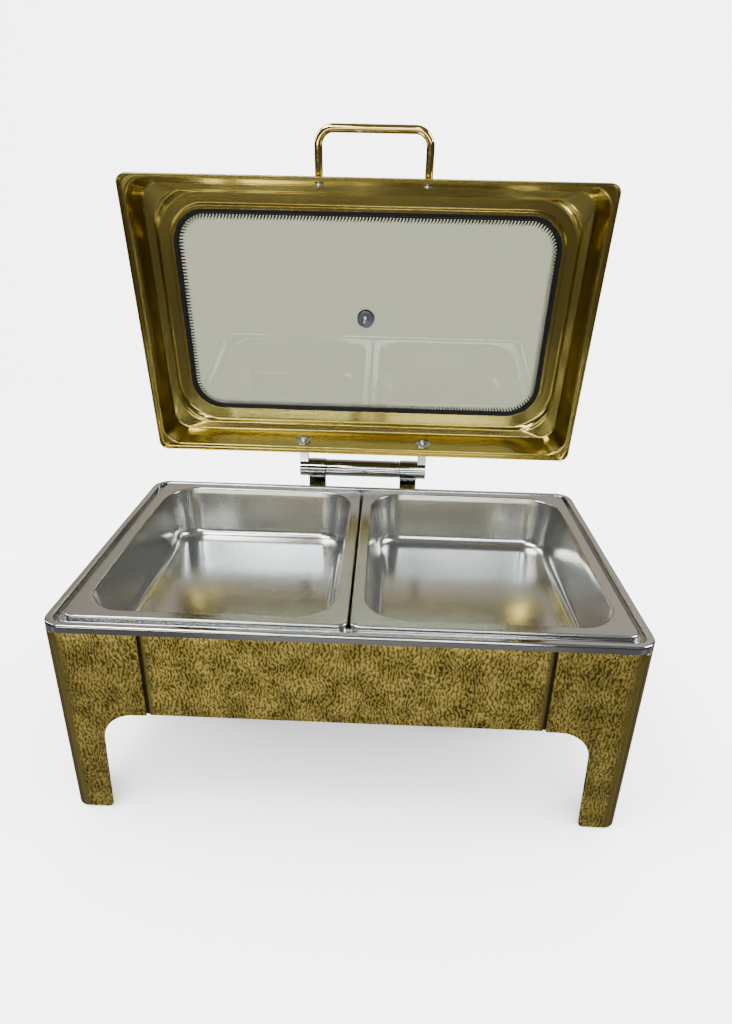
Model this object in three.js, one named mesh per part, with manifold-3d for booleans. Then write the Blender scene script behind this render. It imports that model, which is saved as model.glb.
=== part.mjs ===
// Rectangular chafer with a hinged glass-window lid, millimetres, +Z up, front towards -Y.
// The stand rests on z = 0 and the lid is shown open at its stop.
import * as THREE from "three";
import { mergeVertices } from "three/addons/utils/BufferGeometryUtils.js";
import Module from "manifold-3d";

const wasm = await Module();
wasm.setup();

// ---- Driving dimensions ----
const FRAME_SHIFT_Y = -20.9; // moves the part so that its bounding box is centred on the origin

// Rim of the water pan
const RIM_WIDTH = 562;
const RIM_DEPTH = 354;
const RIM_TOP = 224;
const RIM_CORNER = 20;
const RIM_HEM = 8;
const BEAD_WIDTH = 8;
const CHANNEL_WIDTH = 3.7;
const CHANNEL_DEPTH = 8;
const LEDGE_DROP = 3.4;
const WATER_PAN_DEPTH = 92;
const PAN_SHEET = 1.2;

// Food pans, half size each
const FOOD_PAN_WIDTH = 265;
const FOOD_PAN_DEPTH = 325;
const FOOD_PAN_HEIGHT = 65;
const FOOD_PAN_FLANGE = 12.5;
const FOOD_PAN_GAP = 2;
const FOOD_PAN_LIP = 4.9;
const FOOD_PAN_SHIFT = 1.4;

// Stand
const STAND_WIDTH = 555;
const STAND_DEPTH = 349.4;
const STAND_SHEET = 1.5;
const STAND_CORNER = 12;
const STAND_TOP = RIM_TOP - RIM_HEM - 0.4;
const FRAME_TOP = RIM_TOP - CHANNEL_DEPTH - PAN_SHEET - 0.3;
const ARCH_TOP = 123;
const ARCH_RADIUS = 32;
const LEG_PLATE_FRONT = 86;
const LEG_PLATE_SIDE = 80;
const FOOT_WIDTH = 38;
const FOOT_TAPER = 3;
const SEAM = 2.2;

// Lid, measured inwards from its hem and upwards from the hem's lower edge when closed
const LID_WIDTH = 542.4;
const LID_DEPTH = 334.4;
const LID_SHEET = 1.2;
const LID_SEAT = RIM_TOP - 5;
const LID_OPEN_ANGLE = 81;
const GLASS_THICKNESS = 4;
const GLASS_INSET = 38.6;
const GLASS_CORNER = 45;
const VENT_HOLE = 7;

// Handle
const HANDLE_ROD = 8.8;
const HANDLE_SPAN = 120;
const HANDLE_REACH = 57;
const HANDLE_BEND = 16.5;
const HANDLE_OFFSET = 7.5;
const HANDLE_HEIGHT = 22;

// Rear hinge
const HINGE_Y = 200.8;
const HINGE_Z = RIM_TOP + 17.4;
const SLEEVE_DIAMETER = 23;
const SLEEVE_LENGTH = 101;
const COLLAR_DIAMETER = 25;
const COLLAR_LENGTH = 24;
const ARM_WIDTH = 11;
const SHAFT_DIAMETER = 10;
const HINGE_CLEARANCE = 0.3;

// Burner rods and fuel cups
const CUP_SPACING = 270;
const CUP_DIAMETER = 88;
const CUP_HEIGHT = 48;
const ROD_DIAMETER = 7;
const ROD_SPACING = 56;
const ROD_HEIGHT = 15;
const CLIP_SHEET = 2;
const LUG_REACH = 10;
const PIN_DIAMETER = 4;

const TOUCH = 0.3; // gap between pieces that rest on one another
const CORNER_STEPS = 6;

// ---- Materials ----
function material(color, roughness, metalness) {
  return new THREE.MeshStandardMaterial({ color, roughness, metalness });
}
const brushedSteel = material(0xb9b4ad, 0.34, 1);
const polishedSteel = material(0xc8c6c4, 0.18, 1);
const chrome = material(0xd2d4d6, 0.1, 1);
const goldHammered = material(0x8f7430, 0.38, 1);
const goldSatin = material(0x8a7238, 0.28, 1);
const goldPolished = material(0xc79a3e, 0.14, 1);
const clearGlass = new THREE.MeshStandardMaterial({
  color: 0xdfe6e2,
  roughness: 0.03,
  metalness: 0,
  transparent: true,
  opacity: 0.3,
});
const blackSilicone = material(0x0a0a0a, 0.5, 0);
const blackPlastic = material(0x141414, 0.6, 0);

// ---- Geometry helpers ----

// Rounded rectangle in a level plane, anticlockwise seen from above.
function roundedLoop(halfX, halfY, radius, z) {
  const loop = [];
  const corners = [[1, 1], [-1, 1], [-1, -1], [1, -1]];
  corners.forEach(([signX, signY], quarter) => {
    for (let step = 0; step <= CORNER_STEPS; step += 1) {
      const angle = (quarter + step / CORNER_STEPS) * Math.PI / 2;
      loop.push(new THREE.Vector3(
        signX * (halfX - radius) + radius * Math.cos(angle),
        signY * (halfY - radius) + radius * Math.sin(angle),
        z,
      ));
    }
  });
  return loop;
}

// Surface through a row of loops. A closed row makes a ring; an open row is capped at both ends.
function skin(loops, closedRow) {
  const size = loops[0].length;
  const vertices = loops.flat().flatMap((point) => point.toArray());
  const faces = [];
  const bands = closedRow ? loops.length : loops.length - 1;
  for (let band = 0; band < bands; band += 1) {
    const low = band * size;
    const high = ((band + 1) % loops.length) * size;
    for (let i = 0; i < size; i += 1) {
      const next = (i + 1) % size;
      faces.push(low + i, low + next, high + next, low + i, high + next, high + i);
    }
  }
  if (!closedRow) {
    const addCap = (start, points, flip) => {
      const centre = points.reduce((sum, point) => sum.add(point), new THREE.Vector3());
      centre.divideScalar(points.length);
      const tip = vertices.length / 3;
      vertices.push(...centre.toArray());
      for (let i = 0; i < size; i += 1) {
        const here = start + i;
        const next = start + (i + 1) % size;
        faces.push(tip, flip ? next : here, flip ? here : next);
      }
    };
    addCap(0, loops[0], true);
    addCap((loops.length - 1) * size, loops.at(-1), false);
  }
  const geometry = new THREE.BufferGeometry();
  geometry.setAttribute("position", new THREE.Float32BufferAttribute(vertices, 3));
  geometry.setIndex(faces);
  return geometry;
}

// Rows of [inset, height, corner radius] become rounded rectangles inside a width by depth outline.
function rectangleLoops(width, depth, rows) {
  return rows.map(([inset, height, radius]) => (
    roundedLoop(width / 2 - inset, depth / 2 - inset, radius, height)
  ));
}

// Round rod that follows points in a level plane.
function rodAlong(points, diameter, sides) {
  const up = new THREE.Vector3(0, 0, 1);
  const loops = points.map((point, index) => {
    const before = points[Math.max(index - 1, 0)];
    const after = points[Math.min(index + 1, points.length - 1)];
    const along = after.clone().sub(before).normalize();
    const side = up.clone().cross(along);
    const loop = [];
    for (let i = 0; i < sides; i += 1) {
      const angle = i / sides * Math.PI * 2;
      loop.push(point.clone()
        .addScaledVector(side, Math.cos(angle) * diameter / 2)
        .addScaledVector(up, Math.sin(angle) * diameter / 2));
    }
    return loop;
  });
  return skin(loops.reverse().map((loop) => loop.reverse()), false);
}

function box(sizeX, sizeY, sizeZ, x, y, z) {
  return new THREE.BoxGeometry(sizeX, sizeY, sizeZ).translate(x, y, z);
}

// Cylinder along X, Y or Z, centred on a point.
function cylinder(axis, diameter, length, x, y, z, sides = 32) {
  const geometry = new THREE.CylinderGeometry(diameter / 2, diameter / 2, length, sides);
  if (axis === "x") geometry.rotateZ(Math.PI / 2);
  if (axis === "z") geometry.rotateX(Math.PI / 2);
  return geometry.translate(x, y, z);
}

// Turned piece from [radius, height] points that start and end on the axis.
function turned(profile, sides = 32) {
  const points = profile.map(([radius, height]) => new THREE.Vector2(radius, height));
  return new THREE.LatheGeometry(points, sides).rotateX(Math.PI / 2);
}

// Flat outline of [x, y] points, made solid along Z.
function extrude(outline, thickness) {
  const shape = new THREE.Shape(outline.map(([x, y]) => new THREE.Vector2(x, y)));
  return new THREE.ExtrudeGeometry(shape, { depth: thickness, bevelEnabled: false });
}

function solid(geometry) {
  const bare = new THREE.BufferGeometry();
  bare.setAttribute("position", geometry.getAttribute("position").clone());
  bare.setIndex(geometry.index ? geometry.index.clone() : null);
  const merged = mergeVertices(bare, 1e-4);
  return new wasm.Manifold(new wasm.Mesh({
    numProp: 3,
    vertProperties: new Float32Array(merged.getAttribute("position").array),
    triVerts: new Uint32Array(merged.index.array),
  }));
}

function surface(manifold) {
  const mesh = manifold.getMesh();
  const geometry = new THREE.BufferGeometry();
  geometry.setAttribute("position", new THREE.Float32BufferAttribute(mesh.vertProperties, 3));
  geometry.setIndex([...mesh.triVerts]);
  return geometry;
}

function join(first, ...others) {
  return surface(others.reduce((sum, piece) => sum.add(solid(piece)), solid(first)));
}

function cut(base, ...tools) {
  return surface(tools.reduce((rest, tool) => rest.subtract(solid(tool)), solid(base)));
}

function addMesh(group, name, geometry, finish) {
  const shaded = geometry.index ? geometry.toNonIndexed() : geometry;
  shaded.computeVertexNormals();
  const mesh = new THREE.Mesh(shaded, finish);
  mesh.name = name;
  group.add(mesh);
  return mesh;
}

// ---- Stand ----

// Tool that removes the arch beside one foot, drawn as [distance from leg edge, height].
function archTool(plateWidth) {
  const outline = [];
  const footRound = 5;
  const top = FOOT_WIDTH + FOOT_TAPER;
  outline.push([plateWidth + 20, -1], [plateWidth + 20, ARCH_TOP]);
  for (let step = 0; step <= 10; step += 1) {
    const angle = step / 10 * Math.PI / 2;
    outline.push([
      top + ARCH_RADIUS - ARCH_RADIUS * Math.sin(angle),
      ARCH_TOP - ARCH_RADIUS + ARCH_RADIUS * Math.cos(angle),
    ]);
  }
  for (let step = 0; step <= 4; step += 1) {
    const angle = step / 4 * Math.PI / 2;
    outline.push([
      FOOT_WIDTH - footRound + footRound * Math.cos(angle),
      footRound - footRound * Math.sin(angle) + 1.5,
    ]);
  }
  outline.push([FOOT_WIDTH - footRound, -1]);
  return extrude(outline, 60);
}

// Corner leg at the +X +Y corner: two plates that meet in a rounded edge.
function legGeometry() {
  const outline = [];
  const addArc = (radius) => {
    for (let step = 0; step <= CORNER_STEPS; step += 1) {
      const angle = step / CORNER_STEPS * Math.PI / 2;
      outline.push([
        -STAND_CORNER + radius * Math.cos(angle),
        -STAND_CORNER + radius * Math.sin(angle),
      ]);
    }
  };
  outline.push([0, -LEG_PLATE_SIDE]);
  addArc(STAND_CORNER);
  outline.push([-LEG_PLATE_FRONT, 0], [-LEG_PLATE_FRONT, -STAND_SHEET]);
  const inner = [];
  for (let step = CORNER_STEPS; step >= 0; step -= 1) {
    const angle = step / CORNER_STEPS * Math.PI / 2;
    const radius = STAND_CORNER - STAND_SHEET;
    inner.push([
      -STAND_CORNER + radius * Math.cos(angle),
      -STAND_CORNER + radius * Math.sin(angle),
    ]);
  }
  outline.push(...inner, [-STAND_SHEET, -LEG_PLATE_SIDE]);
  const foot = 1.5;
  const body = extrude(outline, STAND_TOP - foot).translate(0, 0, foot);
  const frontArch = archTool(LEG_PLATE_FRONT).rotateX(Math.PI / 2).scale(-1, 1, 1);
  const sideArch = archTool(LEG_PLATE_SIDE).rotateX(Math.PI / 2).rotateZ(-Math.PI / 2);
  reverseFaces(frontArch);
  frontArch.translate(0, 10, 0);
  sideArch.translate(10, 0, 0);
  const frontOnly = box(200, 12, 500, -100 - 12, 0, 100);
  const sideOnly = box(12, 200, 500, 0, -100 - 12, 100);
  const trimmedFront = solid(frontArch).intersect(solid(frontOnly));
  const trimmedSide = solid(sideArch).intersect(solid(sideOnly));
  return surface(solid(body).subtract(trimmedFront).subtract(trimmedSide));
}

function reverseFaces(geometry) {
  const position = geometry.getAttribute("position");
  if (geometry.index) {
    const index = geometry.index.array;
    for (let i = 0; i < index.length; i += 3) [index[i], index[i + 1]] = [index[i + 1], index[i]];
    return;
  }
  const array = position.array;
  for (let i = 0; i < array.length; i += 9) {
    for (let k = 0; k < 3; k += 1) {
      [array[i + k], array[i + 3 + k]] = [array[i + 3 + k], array[i + k]];
    }
  }
}

function addStand(group) {
  const leg = legGeometry();
  const corners = [
    ["front_left", -1, -1], ["front_right", 1, -1], ["back_left", -1, 1], ["back_right", 1, 1],
  ];
  for (const [label, signX, signY] of corners) {
    const legMesh = addMesh(group, `leg_${label}`, leg.clone(), goldHammered);
    legMesh.position.set(signX * STAND_WIDTH / 2, signY * STAND_DEPTH / 2, 0);
    legMesh.scale.set(signX, signY, 1);
    const padSize = FOOT_WIDTH - 18;
    const inside = STAND_SHEET + TOUCH;
    const padShape = roundedLoop(padSize / 2, padSize / 2, 9.9, 0);
    const padTop = roundedLoop(padSize / 2, padSize / 2, 9.9, 9);
    const pad = addMesh(group, `foot_pad_${label}`, skin([padShape, padTop], false), blackPlastic);
    pad.position.set(
      signX * (STAND_WIDTH / 2 - inside - padSize / 2),
      signY * (STAND_DEPTH / 2 - inside - padSize / 2),
      0,
    );
  }
  const panelHeight = STAND_TOP - ARCH_TOP;
  const panelZ = ARCH_TOP + panelHeight / 2;
  const frontLength = STAND_WIDTH - 2 * (LEG_PLATE_FRONT + SEAM);
  const sideLength = STAND_DEPTH - 2 * (LEG_PLATE_SIDE + SEAM);
  const panelY = STAND_DEPTH / 2 - STAND_SHEET / 2;
  const panelX = STAND_WIDTH / 2 - STAND_SHEET / 2;
  const front = box(frontLength, STAND_SHEET, panelHeight, 0, -panelY, panelZ);
  const back = box(frontLength, STAND_SHEET, panelHeight, 0, panelY, panelZ);
  const left = box(STAND_SHEET, sideLength, panelHeight, -panelX, 0, panelZ);
  const right = box(STAND_SHEET, sideLength, panelHeight, panelX, 0, panelZ);
  addMesh(group, "front_panel", front, goldHammered);
  addMesh(group, "back_panel", back, goldHammered);
  addMesh(group, "left_panel", left, goldHammered);
  addMesh(group, "right_panel", right, goldHammered);
  addMesh(group, "top_frame", topFrame(), brushedSteel);
}

// Angle frame inside the legs and panels; its upper flange carries the water pan.
function topFrame() {
  const inset = STAND_SHEET + TOUCH;
  const corner = STAND_CORNER - inset;
  const bottom = FRAME_TOP - 24;
  const flange = 9;
  const rows = [
    [inset, bottom, corner],
    [inset, FRAME_TOP, corner],
    [inset + flange, FRAME_TOP, 4],
    [inset + flange, FRAME_TOP - 1.5, 4],
    [inset + 1.5, FRAME_TOP - 1.5, corner - 1.5],
    [inset + 1.5, bottom, corner - 1.5],
  ];
  return skin(rectangleLoops(STAND_WIDTH, STAND_DEPTH, rows), true);
}

// ---- Pans ----

// Deep water pan: rolled outer bead, drip channel, ledge for the food pans, wall and floor.
function waterPan() {
  const top = RIM_TOP;
  const sheet = PAN_SHEET;
  const channelIn = BEAD_WIDTH + CHANNEL_WIDTH;
  const ledge = top - LEDGE_DROP;
  const wall = channelIn + 7.5;
  const floor = top - WATER_PAN_DEPTH;
  const outer = [
    [wall + 45, floor, 12],
    [wall + 12, floor, 26],
    [wall + 6, floor + 3, 24],
    [wall + 3.5, floor + 10, 22],
    [wall - sheet, ledge - 3, 12],
    [wall - 2.4, ledge - sheet, 8],
    [channelIn + 1.4, ledge - sheet, 8],
    [channelIn + 1.2, top - CHANNEL_DEPTH - sheet, 9],
    [BEAD_WIDTH - 1.2, top - CHANNEL_DEPTH - sheet, 13],
    [BEAD_WIDTH - 1.2, top - 2.4, 14],
    [BEAD_WIDTH - 2.4, top - 1.2, 15],
    [2.4, top - 1.2, 18],
    [1.2, top - 2.4, 19],
    [1.2, top - RIM_HEM, 19],
    [0, top - RIM_HEM, RIM_CORNER],
  ];
  const inner = [
    [0, top - 2.2, RIM_CORNER],
    [0.7, top - 0.6, RIM_CORNER],
    [2.2, top, RIM_CORNER - 1],
    [BEAD_WIDTH - 2, top, 14],
    [BEAD_WIDTH - 0.4, top - 0.6, 13],
    [BEAD_WIDTH, top - 2, 13],
    [BEAD_WIDTH, top - CHANNEL_DEPTH, 12],
    [channelIn, top - CHANNEL_DEPTH, 10],
    [channelIn, ledge, 9],
    [wall - 1, ledge, 9],
    [wall, ledge - 1.2, 12],
    [wall + 4.8, floor + 12, 22],
    [wall + 7.5, floor + 4, 24],
    [wall + 13, floor + sheet, 26],
    [wall + 45, floor + sheet, 12],
  ];
  return skin(rectangleLoops(RIM_WIDTH, RIM_DEPTH, [...outer, ...inner]), false);
}

// Food pan: turned-down lip, flat flange, drafted wall, round-cornered floor.
function foodPan() {
  const top = RIM_TOP - LEDGE_DROP + TOUCH + FOOD_PAN_LIP;
  const sheet = 1;
  const floor = top - FOOD_PAN_HEIGHT;
  const flange = FOOD_PAN_FLANGE;
  const rows = [
    [flange + 75, floor, 18],
    [flange + 24, floor, 28],
    [flange + 12, floor + 4, 35],
    [flange + 7, floor + 14, 38],
    [flange + 0.6, top - 5, 40],
    [flange - 2, top - sheet, 42],
    [3, top - sheet, 6],
    [1, top - 2.6, 8],
    [1, top - FOOD_PAN_LIP, 8],
    [0, top - FOOD_PAN_LIP, 9],
    [0, top - 2, 9],
    [0.8, top - 0.6, 8.4],
    [2.4, top, 7],
    [flange - 1.2, top, 42],
    [flange + 0.8, top - 0.7, 41],
    [flange + 1.8, top - 4.4, 39],
    [flange + 8.2, floor + 14.6, 37],
    [flange + 13, floor + 5, 34],
    [flange + 25, floor + sheet, 27],
    [flange + 75, floor + sheet, 18],
  ];
  return skin(rectangleLoops(FOOD_PAN_WIDTH, FOOD_PAN_DEPTH, rows), false);
}

function addPans(group) {
  addMesh(group, "water_pan", waterPan(), polishedSteel);
  const pitch = (FOOD_PAN_WIDTH + FOOD_PAN_GAP) / 2;
  const left = addMesh(group, "food_pan_left", foodPan(), brushedSteel);
  const right = addMesh(group, "food_pan_right", foodPan(), brushedSteel);
  left.position.x = FOOD_PAN_SHIFT - pitch;
  right.position.x = FOOD_PAN_SHIFT + pitch;
}

// ---- Hinge ----

function boreTool() {
  return cylinder("x", SHAFT_DIAMETER + 2 * HINGE_CLEARANCE, 400, 0, HINGE_Y, HINGE_Z);
}

// Fixed bracket: plate on the back panel, an arm outwards and a post up to the collar.
function hingeBracket(centreX) {
  const faceY = STAND_DEPTH / 2 + TOUCH;
  const outline = [
    [faceY, -62], [faceY + 3, -62], [faceY + 3, -50], [HINGE_Y + 5, -50],
    [HINGE_Y + 8, -46], [HINGE_Y + 8, 17.4], [HINGE_Y - 8, 17.4], [HINGE_Y - 8, -40],
    [faceY + 3, -40], [faceY + 3, -16], [faceY, -16],
  ].map(([y, z]) => [y, RIM_TOP + z]);
  const profile = extrude(outline, COLLAR_LENGTH - 2);
  profile.translate(0, 0, -(COLLAR_LENGTH - 2) / 2);
  profile.rotateX(Math.PI / 2).rotateZ(Math.PI / 2).translate(centreX, 0, 0);
  const collar = cylinder("x", COLLAR_DIAMETER, COLLAR_LENGTH, centreX, HINGE_Y, HINGE_Z, 40);
  return cut(join(profile, collar), boreTool());
}

function addHingeBase(group) {
  const collarX = SLEEVE_LENGTH / 2 + TOUCH + COLLAR_LENGTH / 2;
  const sleeve = cylinder("x", SLEEVE_DIAMETER, SLEEVE_LENGTH, 0, HINGE_Y, HINGE_Z, 40);
  addMesh(group, "hinge_sleeve", cut(sleeve, boreTool()), chrome);
  for (const [label, sign] of [["left", -1], ["right", 1]]) {
    addMesh(group, `hinge_bracket_${label}`, hingeBracket(sign * collarX), chrome);
    for (const [place, drop] of [["upper", 23], ["lower", 56]]) {
      const head = turned([[0, 0], [4, 0], [4, 1.2], [2.6, 2.4], [0, 2.6]], 12);
      head.rotateX(-Math.PI / 2);
      head.translate(sign * collarX, STAND_DEPTH / 2 + 3 + 2 * TOUCH, RIM_TOP - drop);
      addMesh(group, `bracket_screw_${label}_${place}`, head, chrome);
    }
  }
}

// Moving arm: a ring on the shaft, a bar over the rim and a pad against the lid's back wall.
function hingeArm(centreX) {
  const wallY = LID_DEPTH / 2 - wallInset(20) + LID_SHEET + TOUCH;
  const wallZ = LID_SEAT + 20;
  const ring = cylinder("x", SLEEVE_DIAMETER + 1, ARM_WIDTH, centreX, HINGE_Y, HINGE_Z, 40);
  const barLength = HINGE_Y - wallY - 2;
  const bar = box(ARM_WIDTH, barLength, 10, centreX, wallY + 2 + barLength / 2, wallZ + 2);
  const pad = box(20, 3, 20, centreX, 0, 0).rotateX(wallLean());
  pad.translate(0, wallY + 1.9, wallZ + 1);
  return cut(join(ring, bar, pad), boreTool());
}

function addHingeArms(group) {
  const armX = SLEEVE_LENGTH / 2 + COLLAR_LENGTH + 2 * TOUCH + ARM_WIDTH / 2;
  const shaftLength = 2 * (armX + ARM_WIDTH / 2) + 1;
  const shaft = cylinder("x", SHAFT_DIAMETER, shaftLength, 0, HINGE_Y, HINGE_Z, 24);
  addMesh(group, "hinge_shaft", shaft, chrome);
  for (const [label, sign] of [["left", -1], ["right", 1]]) {
    addMesh(group, `hinge_arm_${label}`, hingeArm(sign * armX), chrome);
    const screw = turned([[0, 0], [9.5, 0], [9.5, 0.8], [5, 1.2], [4.2, 2.9], [0, 3.4]], 16);
    screw.rotateX(Math.PI / 2 + wallLean());
    const inside = LID_DEPTH / 2 - wallInset(20) - TOUCH;
    screw.translate(sign * armX, inside, LID_SEAT + 20);
    addMesh(group, `lid_screw_${label}`, screw, chrome);
  }
}

// ---- Lid ----

// The wall's inner face leans in from the opening edge to the shelf.
const WALL_FOOT = { inset: 5.8, height: 9 };
const WALL_HEAD = { inset: 13.6, height: 38 };

function wallInset(height) {
  const part = (height - WALL_FOOT.height) / (WALL_HEAD.height - WALL_FOOT.height);
  return WALL_FOOT.inset + part * (WALL_HEAD.inset - WALL_FOOT.inset);
}

function wallLean() {
  const run = WALL_HEAD.inset - WALL_FOOT.inset;
  const rise = WALL_HEAD.height - WALL_FOOT.height;
  return Math.atan2(run, rise);
}

// Pressed shell: hem, flange, leaning wall, shelf, step, window ring and glass ledge.
function lidShell() {
  const t = LID_SHEET;
  const under = [
    [0, 0, 10.5],
    [t, 0, 9.5],
    [t, 5.6, 9.5],
    [2.4, 7, 9],
    [4.8, 7, 24],
    [WALL_FOOT.inset, WALL_FOOT.height, 25],
    [WALL_HEAD.inset, WALL_HEAD.height, 20],
    [15.2, 40.6, 19],
    [21.5, 42.4, 40],
    [23, 44, 54],
    [23.6, 47.4, 55],
    [25, 48.6, 54],
    [35.2, 48.6, 46],
    [36.6, 47.2, 45],
    [37, 45, 44],
    [41.4, 45, 40],
  ];
  const over = [
    [41.4, 46.2, 40],
    [38, 46.2, 43],
    [37.8, 48, 44],
    [36, 49.8, 46],
    [24.6, 49.8, 55],
    [22.6, 48, 56],
    [21.6, 43.8, 50],
    [14.6, 42, 21],
    [12.4, 38.6, 22],
    [WALL_FOOT.inset - t, WALL_FOOT.height + 0.2, 26],
    [4, 8.2, 24],
    [1.8, 8.2, 10],
    [0, 6.2, 10.5],
  ];
  const rows = [...under, ...over].map(([inset, height, radius]) => (
    [inset, LID_SEAT + height, radius]
  ));
  return skin(rectangleLoops(LID_WIDTH, LID_DEPTH, rows).reverse(), true);
}

function lidPlate(rows) {
  const placed = rows.map(([inset, height, radius]) => [inset, LID_SEAT + height, radius]);
  return rectangleLoops(LID_WIDTH, LID_DEPTH, placed);
}

function addGlass(group) {
  const sealTop = 46.2 + TOUCH + 0.8;
  const glassLow = sealTop + TOUCH;
  const glassTop = glassLow + GLASS_THICKNESS;
  const seal = lidPlate([
    [GLASS_INSET - 0.2, 46.2 + TOUCH, GLASS_CORNER - 2],
    [GLASS_INSET - 0.2, sealTop, GLASS_CORNER - 2],
    [GLASS_INSET + 7, sealTop, GLASS_CORNER - 9],
    [GLASS_INSET + 7, 46.2 + TOUCH, GLASS_CORNER - 9],
  ]);
  const glass = lidPlate([
    [GLASS_INSET, glassLow, GLASS_CORNER - 2],
    [GLASS_INSET, glassTop - 0.6, GLASS_CORNER - 2],
    [GLASS_INSET + 0.6, glassTop, GLASS_CORNER - 2.6],
  ]);
  const hole = cylinder("z", VENT_HOLE, 30, 0, 0, LID_SEAT + glassLow, 24);
  addMesh(group, "glass_seal", skin(seal, true), blackSilicone);
  addMesh(group, "lid_glass", cut(skin(glass, false), hole), clearGlass);
  addVent(group, glassLow, glassTop);
}

// Steam vent in the middle of the glass: washer and screw below, domed cap with a stem above.
function addVent(group, glassLow, glassTop) {
  const washer = turned([[2.6, 0], [10.8, 0], [11, 0.6], [10.4, 1.4], [2.6, 1.4], [2.6, 0]], 24);
  const screw = turned([[0, 0], [1.2, 0.9], [3.4, 0.7], [4.2, 1.6], [4.2, 2], [0, 2]], 12);
  const cap = turned([
    [0, -3.6], [2.3, -3.6], [2.3, 0.3], [10.6, 0.3], [11.2, 2.2], [10.4, 6], [8.2, 8.4], [4.6, 9.7], [0, 10],
  ], 24);
  washer.translate(0, 0, LID_SEAT + glassLow - 1.4 - TOUCH);
  screw.translate(0, 0, LID_SEAT + glassLow - 1.4 - 2 * TOUCH - 2);
  cap.translate(0, 0, LID_SEAT + glassTop);
  addMesh(group, "vent_washer", washer, chrome);
  addMesh(group, "vent_screw", screw, chrome);
  addMesh(group, "vent_cap", cap, chrome);
}

// Bent round rod that stands out from the lid's front wall.
function addHandle(group) {
  const height = LID_SEAT + HANDLE_HEIGHT;
  const wallY = -(LID_DEPTH / 2 - wallInset(HANDLE_HEIGHT) + LID_SHEET);
  const lowestInset = wallInset(HANDLE_HEIGHT - HANDLE_ROD / 2);
  const rootY = -(LID_DEPTH / 2 - lowestInset + LID_SHEET) - TOUCH;
  const endY = wallY - HANDLE_REACH + HANDLE_ROD / 2;
  const half = HANDLE_SPAN / 2;
  const path = [new THREE.Vector3(-half, rootY, height)];
  for (const [side, start] of [[-1, Math.PI], [1, Math.PI * 1.5]]) {
    for (let step = 0; step <= CORNER_STEPS; step += 1) {
      const angle = start + step / CORNER_STEPS * Math.PI / 2;
      path.push(new THREE.Vector3(
        side * (half - HANDLE_BEND) + HANDLE_BEND * Math.cos(angle),
        endY + HANDLE_BEND + HANDLE_BEND * Math.sin(angle),
        height,
      ));
    }
  }
  path.push(new THREE.Vector3(half, rootY, height));
  const handle = addMesh(group, "handle", rodAlong(path, HANDLE_ROD, 12), goldPolished);
  handle.position.x = HANDLE_OFFSET;
  for (const [label, sign] of [["left", -1], ["right", 1]]) {
    const screw = turned([[0, 0], [5.3, 0], [5.1, 1.2], [3.4, 2.4], [0, 2.8]], 12);
    screw.rotateX(-Math.PI / 2 - wallLean());
    const insideY = wallY + LID_SHEET + TOUCH;
    screw.translate(HANDLE_OFFSET + sign * half, insideY, height);
    addMesh(group, `handle_screw_${label}`, screw, chrome);
  }
}

// The lid is drawn closed and turned about the hinge axis to its open stop.
function addLid(group) {
  const pivot = new THREE.Group();
  const closed = new THREE.Group();
  pivot.position.set(0, HINGE_Y, HINGE_Z);
  pivot.rotation.x = -THREE.MathUtils.degToRad(LID_OPEN_ANGLE);
  closed.position.set(0, -HINGE_Y, -HINGE_Z);
  pivot.add(closed);
  group.add(pivot);
  addMesh(closed, "lid_shell", lidShell(), goldSatin);
  addGlass(closed);
  addHandle(closed);
  addHingeArms(closed);
}

// ---- Burners ----

// Bent rod across the width; its ends rise inside the side panels.
function burnerRod() {
  const reach = STAND_WIDTH / 2 - STAND_SHEET - CLIP_SHEET - 2 * TOUCH - ROD_DIAMETER / 2;
  const bend = 14;
  const top = ARCH_TOP + 30;
  const low = ROD_HEIGHT;
  const path = [new THREE.Vector3(-reach, top, 0)];
  for (const [side, start] of [[-1, Math.PI], [1, Math.PI * 1.5]]) {
    for (let step = 0; step <= CORNER_STEPS; step += 1) {
      const angle = start + step / CORNER_STEPS * Math.PI / 2;
      path.push(new THREE.Vector3(
        side * (reach - bend) + bend * Math.cos(angle),
        low + bend + bend * Math.sin(angle),
        0,
      ));
    }
  }
  path.push(new THREE.Vector3(reach, top, 0));
  return rodAlong(path, ROD_DIAMETER, 12).rotateX(Math.PI / 2);
}

// Cup with a rolled edge and a lug that carries the snuffer's pin.
function fuelCup() {
  const outer = CUP_DIAMETER / 2;
  const bowl = turned([
    [0, 0], [outer - 2, 0], [outer, 2], [outer, CUP_HEIGHT - 1], [outer + 2, CUP_HEIGHT],
    [outer + 2, CUP_HEIGHT + 1], [outer - 1, CUP_HEIGHT + 1], [outer - 1.2, CUP_HEIGHT - 1],
    [outer - 1.2, 3], [outer - 3, 1.2], [0, 1.2],
  ], 32);
  const lug = box(LUG_REACH + 6, 12, 10, outer - 0.5 + (LUG_REACH + 6) / 2, 0, CUP_HEIGHT - 12);
  return join(bowl, lug);
}

// Round snuffer lid with an ear that turns on the upright pin.
function snuffer() {
  const edge = CUP_DIAMETER / 2 + 1;
  const pinX = CUP_DIAMETER / 2 + LUG_REACH;
  const disc = turned([[0, 0], [edge, 0], [edge, 1.4], [edge - 3, 2.6], [0, 2.6]], 32);
  const ear = box(LUG_REACH, 12, 1.4, edge + LUG_REACH / 2 - 2, 0, 0.7);
  const earEnd = cylinder("z", 12, 1.4, pinX, 0, 0.7, 20);
  const knob = cylinder("z", 8, 12, 0, 0, 8, 16);
  const pinHole = cylinder("z", PIN_DIAMETER + 2 * HINGE_CLEARANCE, 20, pinX, 0, 0, 16);
  return cut(join(disc, ear, earEnd, knob), pinHole);
}

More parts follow.
